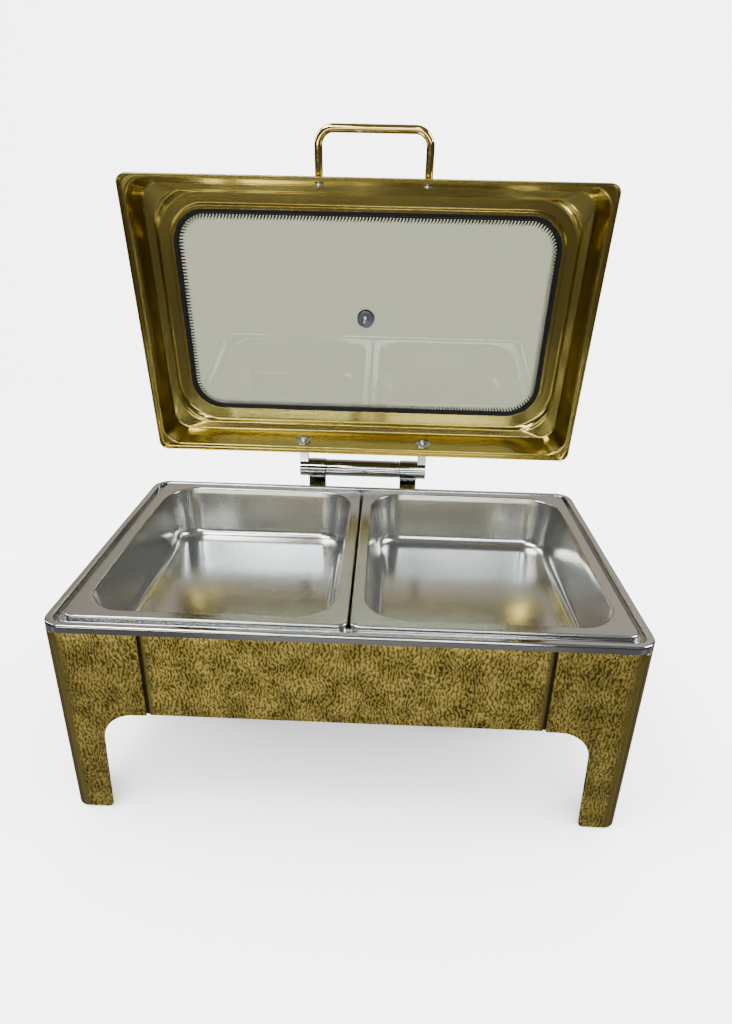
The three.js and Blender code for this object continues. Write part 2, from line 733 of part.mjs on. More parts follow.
function addBurners(group) {
  for (const [place, y] of [["front", -ROD_SPACING / 2], ["back", ROD_SPACING / 2]]) {
    addMesh(group, `burner_rod_${place}`, burnerRod(), chrome).position.y = y;
  }
  const base = ROD_HEIGHT + ROD_DIAMETER / 2 + TOUCH;
  const lugTop = CUP_HEIGHT - 7;
  const pinLength = 14;
  for (const [label, sign] of [["left", -1], ["right", 1]]) {
    const burner = new THREE.Group();
    burner.position.set(sign * CUP_SPACING / 2, 0, base);
    burner.rotation.z = sign > 0 ? Math.PI : 0;
    group.add(burner);
    addMesh(burner, `fuel_cup_${label}`, fuelCup(), brushedSteel);
    const pin = cylinder("z", PIN_DIAMETER, pinLength, 0, 0, pinLength / 2, 16);
    const pinMesh = addMesh(burner, `snuffer_pin_${label}`, pin, chrome);
    pinMesh.position.set(CUP_DIAMETER / 2 + LUG_REACH, 0, lugTop + TOUCH);
    const cover = addMesh(burner, `snuffer_${label}`, snuffer(), brushedSteel);
    cover.position.z = CUP_HEIGHT + 1 + TOUCH;
  }
}

// Plate on each side panel, between the upright rod ends, with a rivet near either end.
function addRodClips(group) {
  const clipZ = ARCH_TOP + 20;
  for (const [label, sign] of [["left", -1], ["right", 1]]) {
    const clipX = STAND_WIDTH / 2 - STAND_SHEET - TOUCH - CLIP_SHEET / 2;
    const plate = box(CLIP_SHEET, ROD_SPACING + 40, 14, sign * clipX, 0, clipZ);
    addMesh(group, `rod_clip_${label}`, plate, brushedSteel);
    for (const [place, y] of [["front", -1], ["back", 1]]) {
      const rivet = turned([[0, 0], [3.5, 0], [3, 1.4], [1.4, 2], [0, 2.1]], 10);
      rivet.rotateY(-sign * Math.PI / 2);
      const inner = STAND_WIDTH / 2 - STAND_SHEET - CLIP_SHEET - 2 * TOUCH;
      rivet.translate(sign * inner, y * (ROD_SPACING / 2 + 13), clipZ);
      addMesh(group, `clip_rivet_${label}_${place}`, rivet, chrome);
    }
  }
}

const chafer = new THREE.Group();
chafer.position.y = FRAME_SHIFT_Y;
addStand(chafer);
addPans(chafer);
addHingeBase(chafer);
addLid(chafer);
addBurners(chafer);
addRodClips(chafer);

const part = new THREE.Group();
part.add(chafer);

export default part;
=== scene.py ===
"""Looks for a buffet chafer: two food pans on a hammered gold stand and a hinged lid with a window."""
import math

import bmesh
import bpy
import numpy as np
from mathutils import Matrix


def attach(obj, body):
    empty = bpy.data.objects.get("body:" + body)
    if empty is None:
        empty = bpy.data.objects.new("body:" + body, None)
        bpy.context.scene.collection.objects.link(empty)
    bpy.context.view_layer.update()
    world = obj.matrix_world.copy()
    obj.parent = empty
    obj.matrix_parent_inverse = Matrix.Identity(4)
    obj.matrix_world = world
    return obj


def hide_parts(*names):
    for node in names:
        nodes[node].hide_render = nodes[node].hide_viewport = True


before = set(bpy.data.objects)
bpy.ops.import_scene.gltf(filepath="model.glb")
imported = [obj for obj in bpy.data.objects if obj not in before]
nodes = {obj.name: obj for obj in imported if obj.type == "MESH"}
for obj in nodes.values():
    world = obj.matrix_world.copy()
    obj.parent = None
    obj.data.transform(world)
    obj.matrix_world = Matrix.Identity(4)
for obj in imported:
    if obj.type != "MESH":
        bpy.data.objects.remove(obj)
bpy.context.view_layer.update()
MM = 0.001

# ---- Sizes in millimetres, in the part's own frame ----
SHIFT_Y = -20.9
RIM = (562.0, 354.0)
RIM_TOP = 224.0
BEAD = 8.0
CHANNEL = 3.7
LEDGE = RIM_TOP - 3.4
LEDGE_WIDTH = 7.5
WATER_SHEET = 1.2
WATER_FLOOR = RIM_TOP - 92.0
FOOD_PAN = (265.0, 325.0)
FOOD_HEIGHT = 65.0
FOOD_SHEET = 1.0
FOOD_LIP = 4.9
FOOD_TOP = LEDGE + 0.3 + FOOD_LIP
FOOD_FLANGE = 12.5
FOOD_PITCH = 133.5
FOOD_SHIFT = 1.4
STAND = (555.0, 349.4)
STAND_TOP = RIM_TOP - 8.4
STAND_CORNER = 12.0
SHEET = 1.5
ARCH_TOP = 123.0
ARCH_RADIUS = 32.0
LEG_FRONT = 86.0
LEG_SIDE = 80.0
FOOT = 38.0
FOOT_TAPER = 3.0
SEAM = 2.2
LID = (542.4, 334.4)
LID_SEAT = 219.0
LID_SHEET = 1.2
HINGE_Y, HINGE_Z = 200.8, 241.4
OPEN = math.radians(81.0)
GLASS_INSET = 38.6
GLASS_CORNER = 43.0
GLASS_LOW = 47.6
GLASS_TOP = 51.6
PRINTED_BAND = (40.0, 47.4)
PRINTED_CORNER = 35.0
VENT_HOLE = 3.5
HANDLE_OFFSET = 7.5
HANDLE_SPAN = 120.0
HANDLE_ROD = 8.8
HANDLE_BEND = 16.5
HANDLE_HEIGHT = 22.0
HANDLE_REACH = 57.0
SLEEVE = (23.0, 101.0)
COLLAR_LENGTH = 24.0
HINGE_GAP = 0.3
ARM_WIDTH = 11.0
ARM_PLACE = SLEEVE[1] / 2 + COLLAR_LENGTH + 2 * HINGE_GAP + ARM_WIDTH / 2
ARM_SCREW_HEIGHT = 20.0
CUP = (88.0, 48.0)
ROD_HEIGHT = 15.0
ROD_SPACING = 56.0
ROD_RADIUS = 3.5
CLIP_FACE = STAND[0] / 2 - SHEET - 2 - 0.6
ROD_REACH = CLIP_FACE - ROD_RADIUS
CUP_PLACE = 135.0


# ---- Mesh helpers ----

def piece(name, points, faces, body, slot, *cad, smooth=True):
    """Mesh piece from points in millimetres, riding on a body in place of the CAD nodes it stands for."""
    mesh = bpy.data.meshes.new(name)
    mesh.from_pydata((np.asarray(points) * MM).tolist(), [], faces)
    mesh.update()
    mesh.polygons.foreach_set("use_smooth", np.full(len(mesh.polygons), smooth))
    obj = bpy.data.objects.new(name, mesh)
    bpy.context.scene.collection.objects.link(obj)
    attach(obj, body)
    if cad:
        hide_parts(*cad)
    return obj


def grid_faces(rows, cols, wrap_rows=False, wrap_cols=False):
    """Quads of a rows by cols grid whose points are stored row after row."""
    r = np.arange(rows if wrap_rows else rows - 1)
    c = np.arange(cols if wrap_cols else cols - 1)
    r, c = np.meshgrid(r, c, indexing="ij")
    r2, c2 = (r + 1) % rows, (c + 1) % cols
    quads = np.stack([r * cols + c, r * cols + c2, r2 * cols + c2, r2 * cols + c], -1)
    return quads.reshape(-1, 4).tolist()


def closed_surface(rows):
    """Rows of loops closed at each end by a fan to the middle of the end loop."""
    count, cols, _ = rows.shape
    points = np.concatenate([rows.reshape(-1, 3), rows[:1].mean(1), rows[-1:].mean(1)])
    low, high = count * cols, count * cols + 1
    i = np.arange(cols)
    j = (i + 1) % cols
    last = (count - 1) * cols
    bottom = np.stack([np.full(cols, low), j, i], -1).tolist()
    top = np.stack([np.full(cols, high), last + i, last + j], -1).tolist()
    return points, grid_faces(count, cols, wrap_cols=True) + bottom + top


def filleted(profile, steps=5):
    """Section of [a, b, ..., fillet radius] corners with each corner turned into an arc of its radius.

    The arc is the quadratic curve between the two tangent points. A point just outside each end of
    the arc keeps the flats on either side flat when they are shaded smooth.
    """
    profile = np.asarray(profile, float)
    section, radius = profile[:, :-1], profile[:, -1]
    out = []
    for i, (corner, r) in enumerate(zip(section, radius)):
        if r <= 0 or i in (0, len(section) - 1):
            out.append(corner[None])
            continue
        before, after = section[i - 1] - corner, section[i + 1] - corner
        lb, la = np.linalg.norm(before[:2]), np.linalg.norm(after[:2])
        cosine = np.clip(before[:2] @ after[:2] / (lb * la), -1, 1)
        reach = min(r / math.tan(math.acos(cosine) / 2), 0.46 * lb, 0.46 * la)
        a, b = corner + before * reach / lb, corner + after * reach / la
        t = np.linspace(0, 1, steps + 1)[:, None]
        arc = (1 - t) ** 2 * a + 2 * t * (1 - t) * corner + t ** 2 * b
        out.append(np.concatenate([[a + before / lb * 0.12 * reach], arc, [b + after / la * 0.12 * reach]]))
    return np.concatenate(out)


def rectangle_rows(size, rows, arc_steps=12, side_steps=6):
    """Loops of rounded rectangles: each row is [inset, height, corner radius] inside the outline size.

    A corner is a quarter circle of its radius; a side is a straight run between two corners.
    """
    rows = np.asarray(rows, float)
    inset, height, radius = rows[:, 0], rows[:, 1], rows[:, 2]
    half_x, half_y = size[0] / 2 - inset, size[1] / 2 - inset
    radius = np.minimum(radius, np.minimum(half_x, half_y) * 0.999)
    parts = []
    for quarter, (sx, sy) in enumerate([(1, 1), (-1, 1), (-1, -1), (1, -1)]):
        angle = (quarter + np.linspace(0, 1, arc_steps + 1)) * math.pi / 2
        x = (sx * (half_x - radius))[:, None] + radius[:, None] * np.cos(angle)
        y = (sy * (half_y - radius))[:, None] + radius[:, None] * np.sin(angle)
        parts.append(np.stack([x, y], -1))
    loops = []
    for k in range(4):
        here, there = parts[k], parts[(k + 1) % 4]
        t = (np.arange(1, side_steps) / side_steps)[None, :, None]
        side = here[:, -1:] * (1 - t) + there[:, :1] * t
        loops += [here, side]
    flat = np.concatenate(loops, 1)
    z = np.broadcast_to(height[:, None, None], flat.shape[:2] + (1,))
    return np.concatenate([flat, z], -1)


def shrink_rows(row, steps):
    """Copies of a loop scaled towards its own middle, for a level floor."""
    scale = np.linspace(1, 0.04, steps + 1)[1:, None, None]
    middle = row.mean(0)
    return middle + (row[None] - middle) * scale


def lathe(profile, segments=64, steps=4):
    """Turned piece: [radius, height, fillet] points from the axis to the axis, swept round Z."""
    section = filleted(profile, steps)
    inner = section[section[:, 0] > 1e-6]
    angle = np.arange(segments) / segments * 2 * math.pi
    ring = np.stack([np.cos(angle), np.sin(angle)], -1)
    xy = inner[:, None, :1] * ring[None]
    z = np.broadcast_to(inner[:, None, 1:2], xy.shape[:2] + (1,))
    rows = np.concatenate([xy, z], -1)
    points, faces = closed_surface(rows)
    points[-2] = (0, 0, section[0, 1])
    points[-1] = (0, 0, section[-1, 1])
    return points, faces


def ring_lathe(profile, segments=64, steps=4):
    """Turned ring: a closed [radius, height, fillet] section swept round Z."""
    profile = np.asarray(profile, float)
    wrapped = np.concatenate([profile[-1:], profile, profile[:1]])
    section = filleted(wrapped, steps)[1:-1]
    angle = np.arange(segments) / segments * 2 * math.pi
    ring = np.stack([np.cos(angle), np.sin(angle)], -1)
    xy = section[:, None, :1] * ring[None]
    z = np.broadcast_to(section[:, None, 1:2], xy.shape[:2] + (1,))
    points = np.concatenate([xy, z], -1)
    faces = grid_faces(len(section), segments, True, True)
    return points.reshape(-1, 3), faces


def rod(path, radius, sides=32):
    """Round rod: circles of one radius set square to a path in a level plane."""
    path = np.asarray(path, float)
    along = np.gradient(path, axis=0)
    along /= np.linalg.norm(along, axis=1)[:, None]
    up = np.array([0.0, 0.0, 1.0])
    side = np.cross(along, up)
    angle = np.arange(sides) / sides * 2 * math.pi
    cos, sin = np.cos(angle)[None, :, None], np.sin(angle)[None, :, None]
    rows = path[:, None] + radius * (side[:, None] * cos + up * sin)
    return closed_surface(rows)


def turn(points, axis, angle, at=(0, 0, 0)):
    """Points turned about an axis through the origin, then moved."""
    matrix = np.array(Matrix.Rotation(angle, 3, axis))
    return np.asarray(points) @ matrix.T + np.asarray(at, float)


def place(points):
    """From the drawing's own middle to the part frame."""
    return np.asarray(points) + (0, SHIFT_Y, 0)


def open_lid(points):
    """A closed lid's points turned about the hinge line to the open stop."""
    p = np.asarray(points, float).reshape(-1, 3)
    y, z = p[:, 1] - HINGE_Y, p[:, 2] - HINGE_Z
    c, s = math.cos(OPEN), math.sin(OPEN)
    return np.stack([p[:, 0], HINGE_Y + y * c + z * s + SHIFT_Y, HINGE_Z - y * s + z * c], -1)


def softened(cad_name, width, body, angle=35):
    """A copy of a CAD node with merged corners and a small round on each edge."""
    mesh = nodes[cad_name].data.copy()
    obj = bpy.data.objects.new("soft_" + cad_name, mesh)
    bpy.context.scene.collection.objects.link(obj)
    bm = bmesh.new()
    bm.from_mesh(mesh)
    bmesh.ops.remove_doubles(bm, verts=bm.verts, dist=2e-5)
    bmesh.ops.dissolve_limit(bm, angle_limit=math.radians(1), verts=bm.verts, edges=bm.edges)
    bm.to_mesh(mesh)
    bm.free()
    mesh.polygons.foreach_set("use_smooth", np.ones(len(mesh.polygons), bool))
    bevel = obj.modifiers.new("round", "BEVEL")
    bevel.width = width * MM
    bevel.segments = 3
    bevel.limit_method = "ANGLE"
    bevel.angle_limit = math.radians(angle)
    bevel.harden_normals = True
    mesh.set_sharp_from_angle(angle=math.radians(angle))
    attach(obj, body)
    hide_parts(cad_name)
    return obj


# ---- Material helpers ----

def group(name, inputs, outputs):
    """New shader node group with named number or colour inputs and outputs."""
    tree = bpy.data.node_groups.new(name, "ShaderNodeTree")
    kinds = {"number": "NodeSocketFloat", "colour": "NodeSocketColor", "vector": "NodeSocketVector"}
    for label, kind, value in inputs:
        socket = tree.interface.new_socket(label, in_out="INPUT", socket_type=kinds[kind])
        if value is not None:
            socket.default_value = value
    for label, kind in outputs:
        tree.interface.new_socket(label, in_out="OUTPUT", socket_type=kinds[kind])
    return tree, tree.nodes.new("NodeGroupInput"), tree.nodes.new("NodeGroupOutput")


def node(tree, kind, **settings):
    made = tree.nodes.new(kind)
    for key, value in settings.items():
        if key.startswith("in_"):
            made.inputs[int(key[3:])].default_value = value
        else:
            setattr(made, key, value)
    return made


def maths(tree, operation, a, b=None, clamp=False):
    made = node(tree, "ShaderNodeMath", operation=operation, use_clamp=clamp)
    for index, value in enumerate([a, b]):
        if value is None:
            continue
        if isinstance(value, (int, float)):
            made.inputs[index].default_value = value
        else:
            tree.links.new(value, made.inputs[index])
    return made.outputs[0]


def ramp(tree, value, low, high, to_low=0.0, to_high=1.0):
    made = node(tree, "ShaderNodeMapRange", clamp=True, interpolation_type="SMOOTHSTEP")
    tree.links.new(value, made.inputs[0])
    for index, number in enumerate([low, high, to_low, to_high], start=1):
        made.inputs[index].default_value = number
    return made.outputs[0]


def mix_colour(tree, factor, a, b):
    made = node(tree, "ShaderNodeMix", data_type="RGBA")
    for socket, value in ((made.inputs[0], factor), (made.inputs[6], a), (made.inputs[7], b)):
        if isinstance(value, (int, float, tuple)):
            socket.default_value = value
        else:
            tree.links.new(value, socket)
    return made.outputs[2]


def build_brushed():
    """Fine straight brushing: noise stretched far along one axis, over a broad one, as tone."""
    tree, inp, out = group(
        "brushed_grain", [("Along", "vector", (1, 1, 1)), ("Contrast", "number", 0.1)], [("Tone", "number")])
    coord = node(tree, "ShaderNodeTexCoord")
    scaled = node(tree, "ShaderNodeVectorMath", operation="MULTIPLY")
    tree.links.new(coord.outputs["Object"], scaled.inputs[0])
    tree.links.new(inp.outputs["Along"], scaled.inputs[1])
    fine = node(tree, "ShaderNodeTexNoise", in_2=900.0, in_3=3.0, in_4=0.6)
    tree.links.new(scaled.outputs[0], fine.inputs[0])
    broad = node(tree, "ShaderNodeTexNoise", in_2=9.0, in_3=2.0, in_4=0.5)
    tree.links.new(coord.outputs["Object"], broad.inputs[0])
    both = maths(tree, "ADD", maths(tree, "MULTIPLY", fine.outputs[0], 0.7),
                 maths(tree, "MULTIPLY", broad.outputs[0], 0.3))
    centred = maths(tree, "SUBTRACT", both, 0.5)
    tree.links.new(maths(tree, "MULTIPLY", centred, inp.outputs["Contrast"]), out.inputs["Tone"])
    return tree


def build_hammered():
    """Upright ripples hammered into sheet.

    The wave is half of one plus the sine of the distance along the sheet over the pitch. The distance
    is pushed sideways by a short noise that makes each ripple waver and by a slow one that slants
    whole patches. Height adds a third noise, which breaks the ripples into short lengths.
    """
    tree, inp, out = group(
        "hammered_ripples", [("Pitch", "number", 4.4)],
        [("Height", "number"), ("Patch", "number"), ("Speck", "number")])
    coord = node(tree, "ShaderNodeTexCoord")
    split = node(tree, "ShaderNodeSeparateXYZ")
    tree.links.new(coord.outputs["Object"], split.inputs[0])
    along = maths(tree, "MULTIPLY", maths(tree, "ADD", split.outputs[0], split.outputs[1]), 1000.0)
    up = maths(tree, "MULTIPLY", split.outputs[2], 1000.0)
    flat = node(tree, "ShaderNodeCombineXYZ")
    tree.links.new(along, flat.inputs[0])
    tree.links.new(up, flat.inputs[1])

    def noise(scale, detail, x_stretch=1.0, y_stretch=1.0):
        stretched = node(tree, "ShaderNodeVectorMath", operation="MULTIPLY")
        stretched.inputs[1].default_value = (x_stretch, y_stretch, 1.0)
        tree.links.new(flat.outputs[0], stretched.inputs[0])
        made = node(tree, "ShaderNodeTexNoise", noise_dimensions="2D")
        made.inputs["Scale"].default_value = scale
        made.inputs["Detail"].default_value = detail
        tree.links.new(stretched.outputs[0], made.inputs["Vector"])
        return made.outputs[0]

    waver = maths(tree, "MULTIPLY", maths(tree, "SUBTRACT", noise(0.24, 2.0), 0.5), 6.0)
    slant = maths(tree, "MULTIPLY", maths(tree, "SUBTRACT", noise(0.03, 1.0), 0.5), 20.0)
    pushed = maths(tree, "ADD", along, maths(tree, "ADD", waver, slant))
    turns = maths(tree, "MULTIPLY", maths(tree, "DIVIDE", pushed, inp.outputs["Pitch"]), 2 * math.pi)
    wave = maths(tree, "ADD", maths(tree, "MULTIPLY", maths(tree, "SINE", turns), 0.5), 0.5)
    broken = maths(tree, "MULTIPLY", noise(0.5, 3.0, 1.0, 0.55), 1.5)
    height = maths(tree, "ADD", maths(tree, "MULTIPLY", wave, 0.4), broken)
    tree.links.new(height, out.inputs["Height"])
    tree.links.new(ramp(tree, noise(0.045, 3.0), 0.32, 0.68), out.inputs["Patch"])
    tree.links.new(noise(0.9, 2.0), out.inputs["Speck"])
    return tree


def build_handled():
    """Faint smears from handling: cloudy noise with fine detail, as a change in roughness."""
    tree, inp, out = group("handling_marks", [("Amount", "number", 0.05)], [("Roughness", "number")])
    coord = node(tree, "ShaderNodeTexCoord")
    cloud = node(tree, "ShaderNodeTexNoise", in_2=14.0, in_3=5.0, in_4=0.62)
    tree.links.new(coord.outputs["Object"], cloud.inputs[0])
    tree.links.new(maths(tree, "MULTIPLY", cloud.outputs[0], inp.outputs["Amount"]), out.inputs[0])
    return tree


BRUSHED = build_brushed()
HAMMERED = build_hammered()
HANDLED = build_handled()


def use(tree, shared, **values):
    made = node(tree, "ShaderNodeGroup", node_tree=shared)
    for key, value in values.items():
        made.inputs[key].default_value = value
    return made


def metal(name, colour, roughness, marks=0.05, brushed=None, contrast=0.1, **sockets):
    """Metal with handling marks and, where it is brushed, a grain along one axis."""
    material = bpy.data.materials.new(name)
    material.use_nodes = True
    tree = material.node_tree
    shader = tree.nodes["Principled BSDF"]
    shader.inputs["Metallic"].default_value = 1.0
    shader.inputs["Base Color"].default_value = (*colour, 1)
    for key, value in sockets.items():
        shader.inputs[key].default_value = value
    smear = use(tree, HANDLED, Amount=marks)
    rough = maths(tree, "ADD", smear.outputs[0], roughness - marks * 0.5)
    if brushed:
        grain_node = use(tree, BRUSHED, Along=brushed, Contrast=contrast)
        rough = maths(tree, "ADD", rough, grain_node.outputs["Tone"])
    tree.links.new(rough, shader.inputs["Roughness"])
    return material


def hammered_gold(name, depth):
    """Olive gold coating over rippled sheet; the ripples fade out where the 'plain' attribute is 1.

    The depth, from 0 to 1, is painted shade: how far the rippled part's colour is taken towards dark brown,
    giving a darker copy of the same sheet as if it lay in shade.
    """
    material = bpy.data.materials.new(name)
    material.use_nodes = True
    tree = material.node_tree
    shader = tree.nodes["Principled BSDF"]
    shader.inputs["Metallic"].default_value = 1.0
    ripples = use(tree, HAMMERED, Pitch=3.8)
    plain = node(tree, "ShaderNodeAttribute", attribute_name="plain")
    worked = maths(tree, "SUBTRACT", 1.0, plain.outputs["Fac"], clamp=True)
    # Painted light: the ripple crests are coloured bright gold as a painted highlight and the hollows dark
    # brown as painted shade, over the bump that also shapes them.
    crest_highlight = ramp(tree, ripples.outputs["Height"], 0.68, 1.22)
    low = mix_colour(tree, ripples.outputs["Patch"], (0.08, 0.062, 0.011, 1), (0.26, 0.195, 0.042, 1))
    high = mix_colour(tree, ripples.outputs["Patch"], (0.58, 0.45, 0.105, 1), (0.93, 0.72, 0.19, 1))
    lit_and_shaded = mix_colour(tree, crest_highlight, low, high)
    # Painted shade: the depth takes the whole rippled colour towards dark brown.
    lit_and_shaded = mix_colour(tree, depth, lit_and_shaded, (0.05, 0.04, 0.01, 1))
    tone = mix_colour(tree, ripples.outputs["Speck"], (0.34, 0.27, 0.075, 1), (0.42, 0.33, 0.095, 1))
    tree.links.new(mix_colour(tree, worked, tone, lit_and_shaded), shader.inputs["Base Color"])
    rough = maths(tree, "ADD", 0.25, maths(tree, "MULTIPLY", worked, 0.14))
    tree.links.new(rough, shader.inputs["Roughness"])
    bump = node(tree, "ShaderNodeBump")
    bump.inputs["Strength"].default_value = 0.8
    bump.inputs["Distance"].default_value = 0.0009
    tree.links.new(maths(tree, "MULTIPLY", ripples.outputs["Height"], worked), bump.inputs["Height"])
    tree.links.new(bump.outputs[0], shader.inputs["Normal"])
    return material


def plain_finish(name, colour, roughness, **sockets):
    """Moulded or printed finish: flat colour with slightly uneven gloss."""
    material = bpy.data.materials.new(name)
    material.use_nodes = True
    tree = material.node_tree
    shader = tree.nodes["Principled BSDF"]
    shader.inputs["Base Color"].default_value = (*colour, 1)
    for key, value in sockets.items():
        shader.inputs[key].default_value = value
    smear = use(tree, HANDLED, Amount=0.16)
    tree.links.new(maths(tree, "ADD", smear.outputs[0], roughness - 0.08), shader.inputs["Roughness"])
    return material


def window_glass():
    material = bpy.data.materials.new("window_glass")
    material.use_nodes = True
    shader = material.node_tree.nodes["Principled BSDF"]
    shader.inputs["Base Color"].default_value = (0.115, 0.118, 0.085, 1)
    shader.inputs["Roughness"].default_value = 0.0
    shader.inputs["IOR"].default_value = 1.5
    shader.inputs["Transmission Weight"].default_value = 1.0
    return material


GOLD_HAMMERED = hammered_gold("hammered_gold", 0.0)
# The legs are the same hammered sheet as the panels, given a darker copy as painted shade.
GOLD_SHADED_LEG = hammered_gold("hammered_gold_shaded_leg", 0.22)
GOLD_SATIN = metal("satin_gold", (0.47, 0.375, 0.105), 0.15, 0.04)
GOLD_POLISHED = metal("polished_gold", (0.90, 0.66, 0.20), 0.07, 0.03)
STEEL_RIM = metal("rim_steel", (0.60, 0.60, 0.605), 0.10, 0.04)
STEEL_PAN = metal("pan_steel", (0.54, 0.535, 0.51), 0.19, 0.02)
STEEL_PLAIN = metal("plain_steel", (0.6, 0.59, 0.57), 0.32, 0.08, (0.03, 1, 1), 0.1)
CHROME = metal("chrome", (0.50, 0.495, 0.48), 0.05, 0.03)
STEEL_VENT = metal("vent_steel", (0.20, 0.235, 0.27), 0.22, 0.06)
GLASS = window_glass()
FRIT = plain_finish("printed_black", (0.002, 0.002, 0.002), 0.4, **{"Specular IOR Level": 0.2})
SILICONE = plain_finish("black_silicone", (0.002, 0.002, 0.002), 0.5, **{"Specular IOR Level": 0.2})
# Painted shade: a near-black sheet for the seam strips and the top frame, standing in for the shade inside
# the stand.
SHADE_SHEET = metal("painted_shade_sheet", (0.05, 0.042, 0.02), 0.5)
PLASTIC = plain_finish("black_plastic", (0.012, 0.012, 0.012), 0.55)


def coat(obj, *materials):
    obj.data.materials.clear()
    for material in materials:
        obj.data.materials.append(material)
    return obj


# ---- Pans ----

def add_water_pan():
    """Sheet section run round the rim: hem, rolled bead, drip channel, ledge, wall and floor."""
    top, t, channel_in = RIM_TOP, WATER_SHEET, BEAD + CHANNEL
    wall = channel_in + LEDGE_WIDTH
    outer = [
        [wall + 30, WATER_FLOOR, 20, 0], [wall + 9, WATER_FLOOR, 28, 12],
        [wall + 3, WATER_FLOOR + 16, 24, 8], [wall - t, LEDGE - 3, 12, 3],
        [wall - 2.4, LEDGE - t, 8, 1.5], [channel_in + 1.4, LEDGE - t, 8, 0.4],
        [channel_in + 1.2, top - 9.2, 9, 1], [BEAD - t, top - 9.2, 13, 1], [BEAD - t, top - t, 14, 1.6],
        [1.2, top - t, 18, 1.6], [1.2, top - 8, 19, 0.2], [0, top - 8, 20, 0.35]]
    inner = [
        [0, top, 20, 2.6], [BEAD, top, 13, 2.4], [BEAD, top - 8, 12, 0.5], [channel_in, top - 8, 10, 0.5],
        [channel_in, LEDGE, 9, 0.7], [wall, LEDGE, 12, 1.6], [wall + 4.2, WATER_FLOOR + 16, 23, 8],
        [wall + 10, WATER_FLOOR + t, 27, 11], [wall + 30, WATER_FLOOR + t, 20, 0]]
    rows = rectangle_rows(RIM, filleted(outer + inner, 5))
    rows = np.concatenate([shrink_rows(rows[0], 6)[::-1], rows, shrink_rows(rows[-1], 6)])
    points, faces = closed_surface(rows)
    coat(piece("rim_and_water_pan", place(points), faces, "water_pan", "rim_steel", "water_pan"), STEEL_RIM)


def add_food_pan(side, sign):
    """Sheet section run round the pan: rolled lip, flange, drafted wall and floor."""
    top, floor, flange, t = FOOD_TOP, FOOD_TOP - FOOD_HEIGHT, FOOD_FLANGE, FOOD_SHEET
    outer = [
        [flange + 40, floor, 24, 0], [flange + 9, floor, 34, 13], [flange + 0.4, top - 7, 40, 20],
        [flange - 2, top - t, 42, 3], [3.4, top - t, 6, 1.6], [1, top - 2.6, 8, 1],
        [1, top - FOOD_LIP, 8, 0.1]]
    inner = [
        [0, top - FOOD_LIP, 9, 0.3], [0, top, 9, 2.2], [flange, top, 42, 2.6],
        [flange + 1.6, top - 7, 39, 20], [flange + 10.2, floor + t, 32, 13], [flange + 40, floor + t, 24, 0]]
    rows = rectangle_rows(FOOD_PAN, filleted(outer + inner, 9), 16, 8)
    rows = np.concatenate([shrink_rows(rows[0], 8)[::-1], rows, shrink_rows(rows[-1], 8)])
    points, faces = closed_surface(rows)
    points = place(points) + (FOOD_SHIFT + sign * FOOD_PITCH, 0, 0)
    name = f"food_pan_{side}"
    coat(piece(f"{name}_formed", points, faces, name, "pan_steel", name), STEEL_PAN)


# ---- Lid ----

WALL_FOOT = (5.8, 9.0)
WALL_HEAD = (13.6, 38.0)


def wall_inset(height):
    """Inset of the lid wall's inner face at a height above the hem."""
    part = (height - WALL_FOOT[1]) / (WALL_HEAD[1] - WALL_FOOT[1])
    return WALL_FOOT[0] + part * (WALL_HEAD[0] - WALL_FOOT[0])


WALL_LEAN = math.atan2(WALL_HEAD[0] - WALL_FOOT[0], WALL_HEAD[1] - WALL_FOOT[1])


def add_lid_shell():
    """Pressed section run round the lid: hem, flange, leaning wall, shelf, step, ring and glass ledge."""
    t = LID_SHEET
    under = [
        [0, 0, 10.5, 0.3], [t, 0, 9.5, 0.3], [t, 7, 9.5, 1.2], [5.2, 7, 24.5, 1.4], [13.6, 39.4, 20, 1.8],
        [21.8, 42.6, 38, 1.2], [23.4, 48.6, 55, 1.8], [36.4, 48.6, 45, 1.2], [37.2, 45, 44, 0.8],
        [41.4, 45, 40, 0.4]]
    over = [
        [41.4, 46.2, 40, 0.4], [38.1, 46.2, 43, 0.5], [37.5, 49.8, 44, 1.2], [22.6, 49.8, 56, 2.4],
        [21, 43.8, 50, 1.4], [12.6, 41, 22, 2.6], [4.2, 8.2, 26, 1.6], [0, 8.2, 10.5, 2]]
    rows = [[i, LID_SEAT + h, r, f] for i, h, r, f in under + over]
    rows = [rows[-1]] + rows + [rows[0]]
    section = filleted(rows, 5)[1:-1]
    loops = rectangle_rows(LID, section, 14, 8)[::-1]
    faces = grid_faces(loops.shape[0], loops.shape[1], True, True)
    shell = piece("lid_shell_formed", open_lid(loops), faces, "lid", "gold_satin", "lid_shell")
    coat(shell, GOLD_SATIN)


def lid_rows(rows, arc=20, side=10):
    placed = [[i, LID_SEAT + h, r] for i, h, r in rows]
    return rectangle_rows(LID, placed, arc, side)


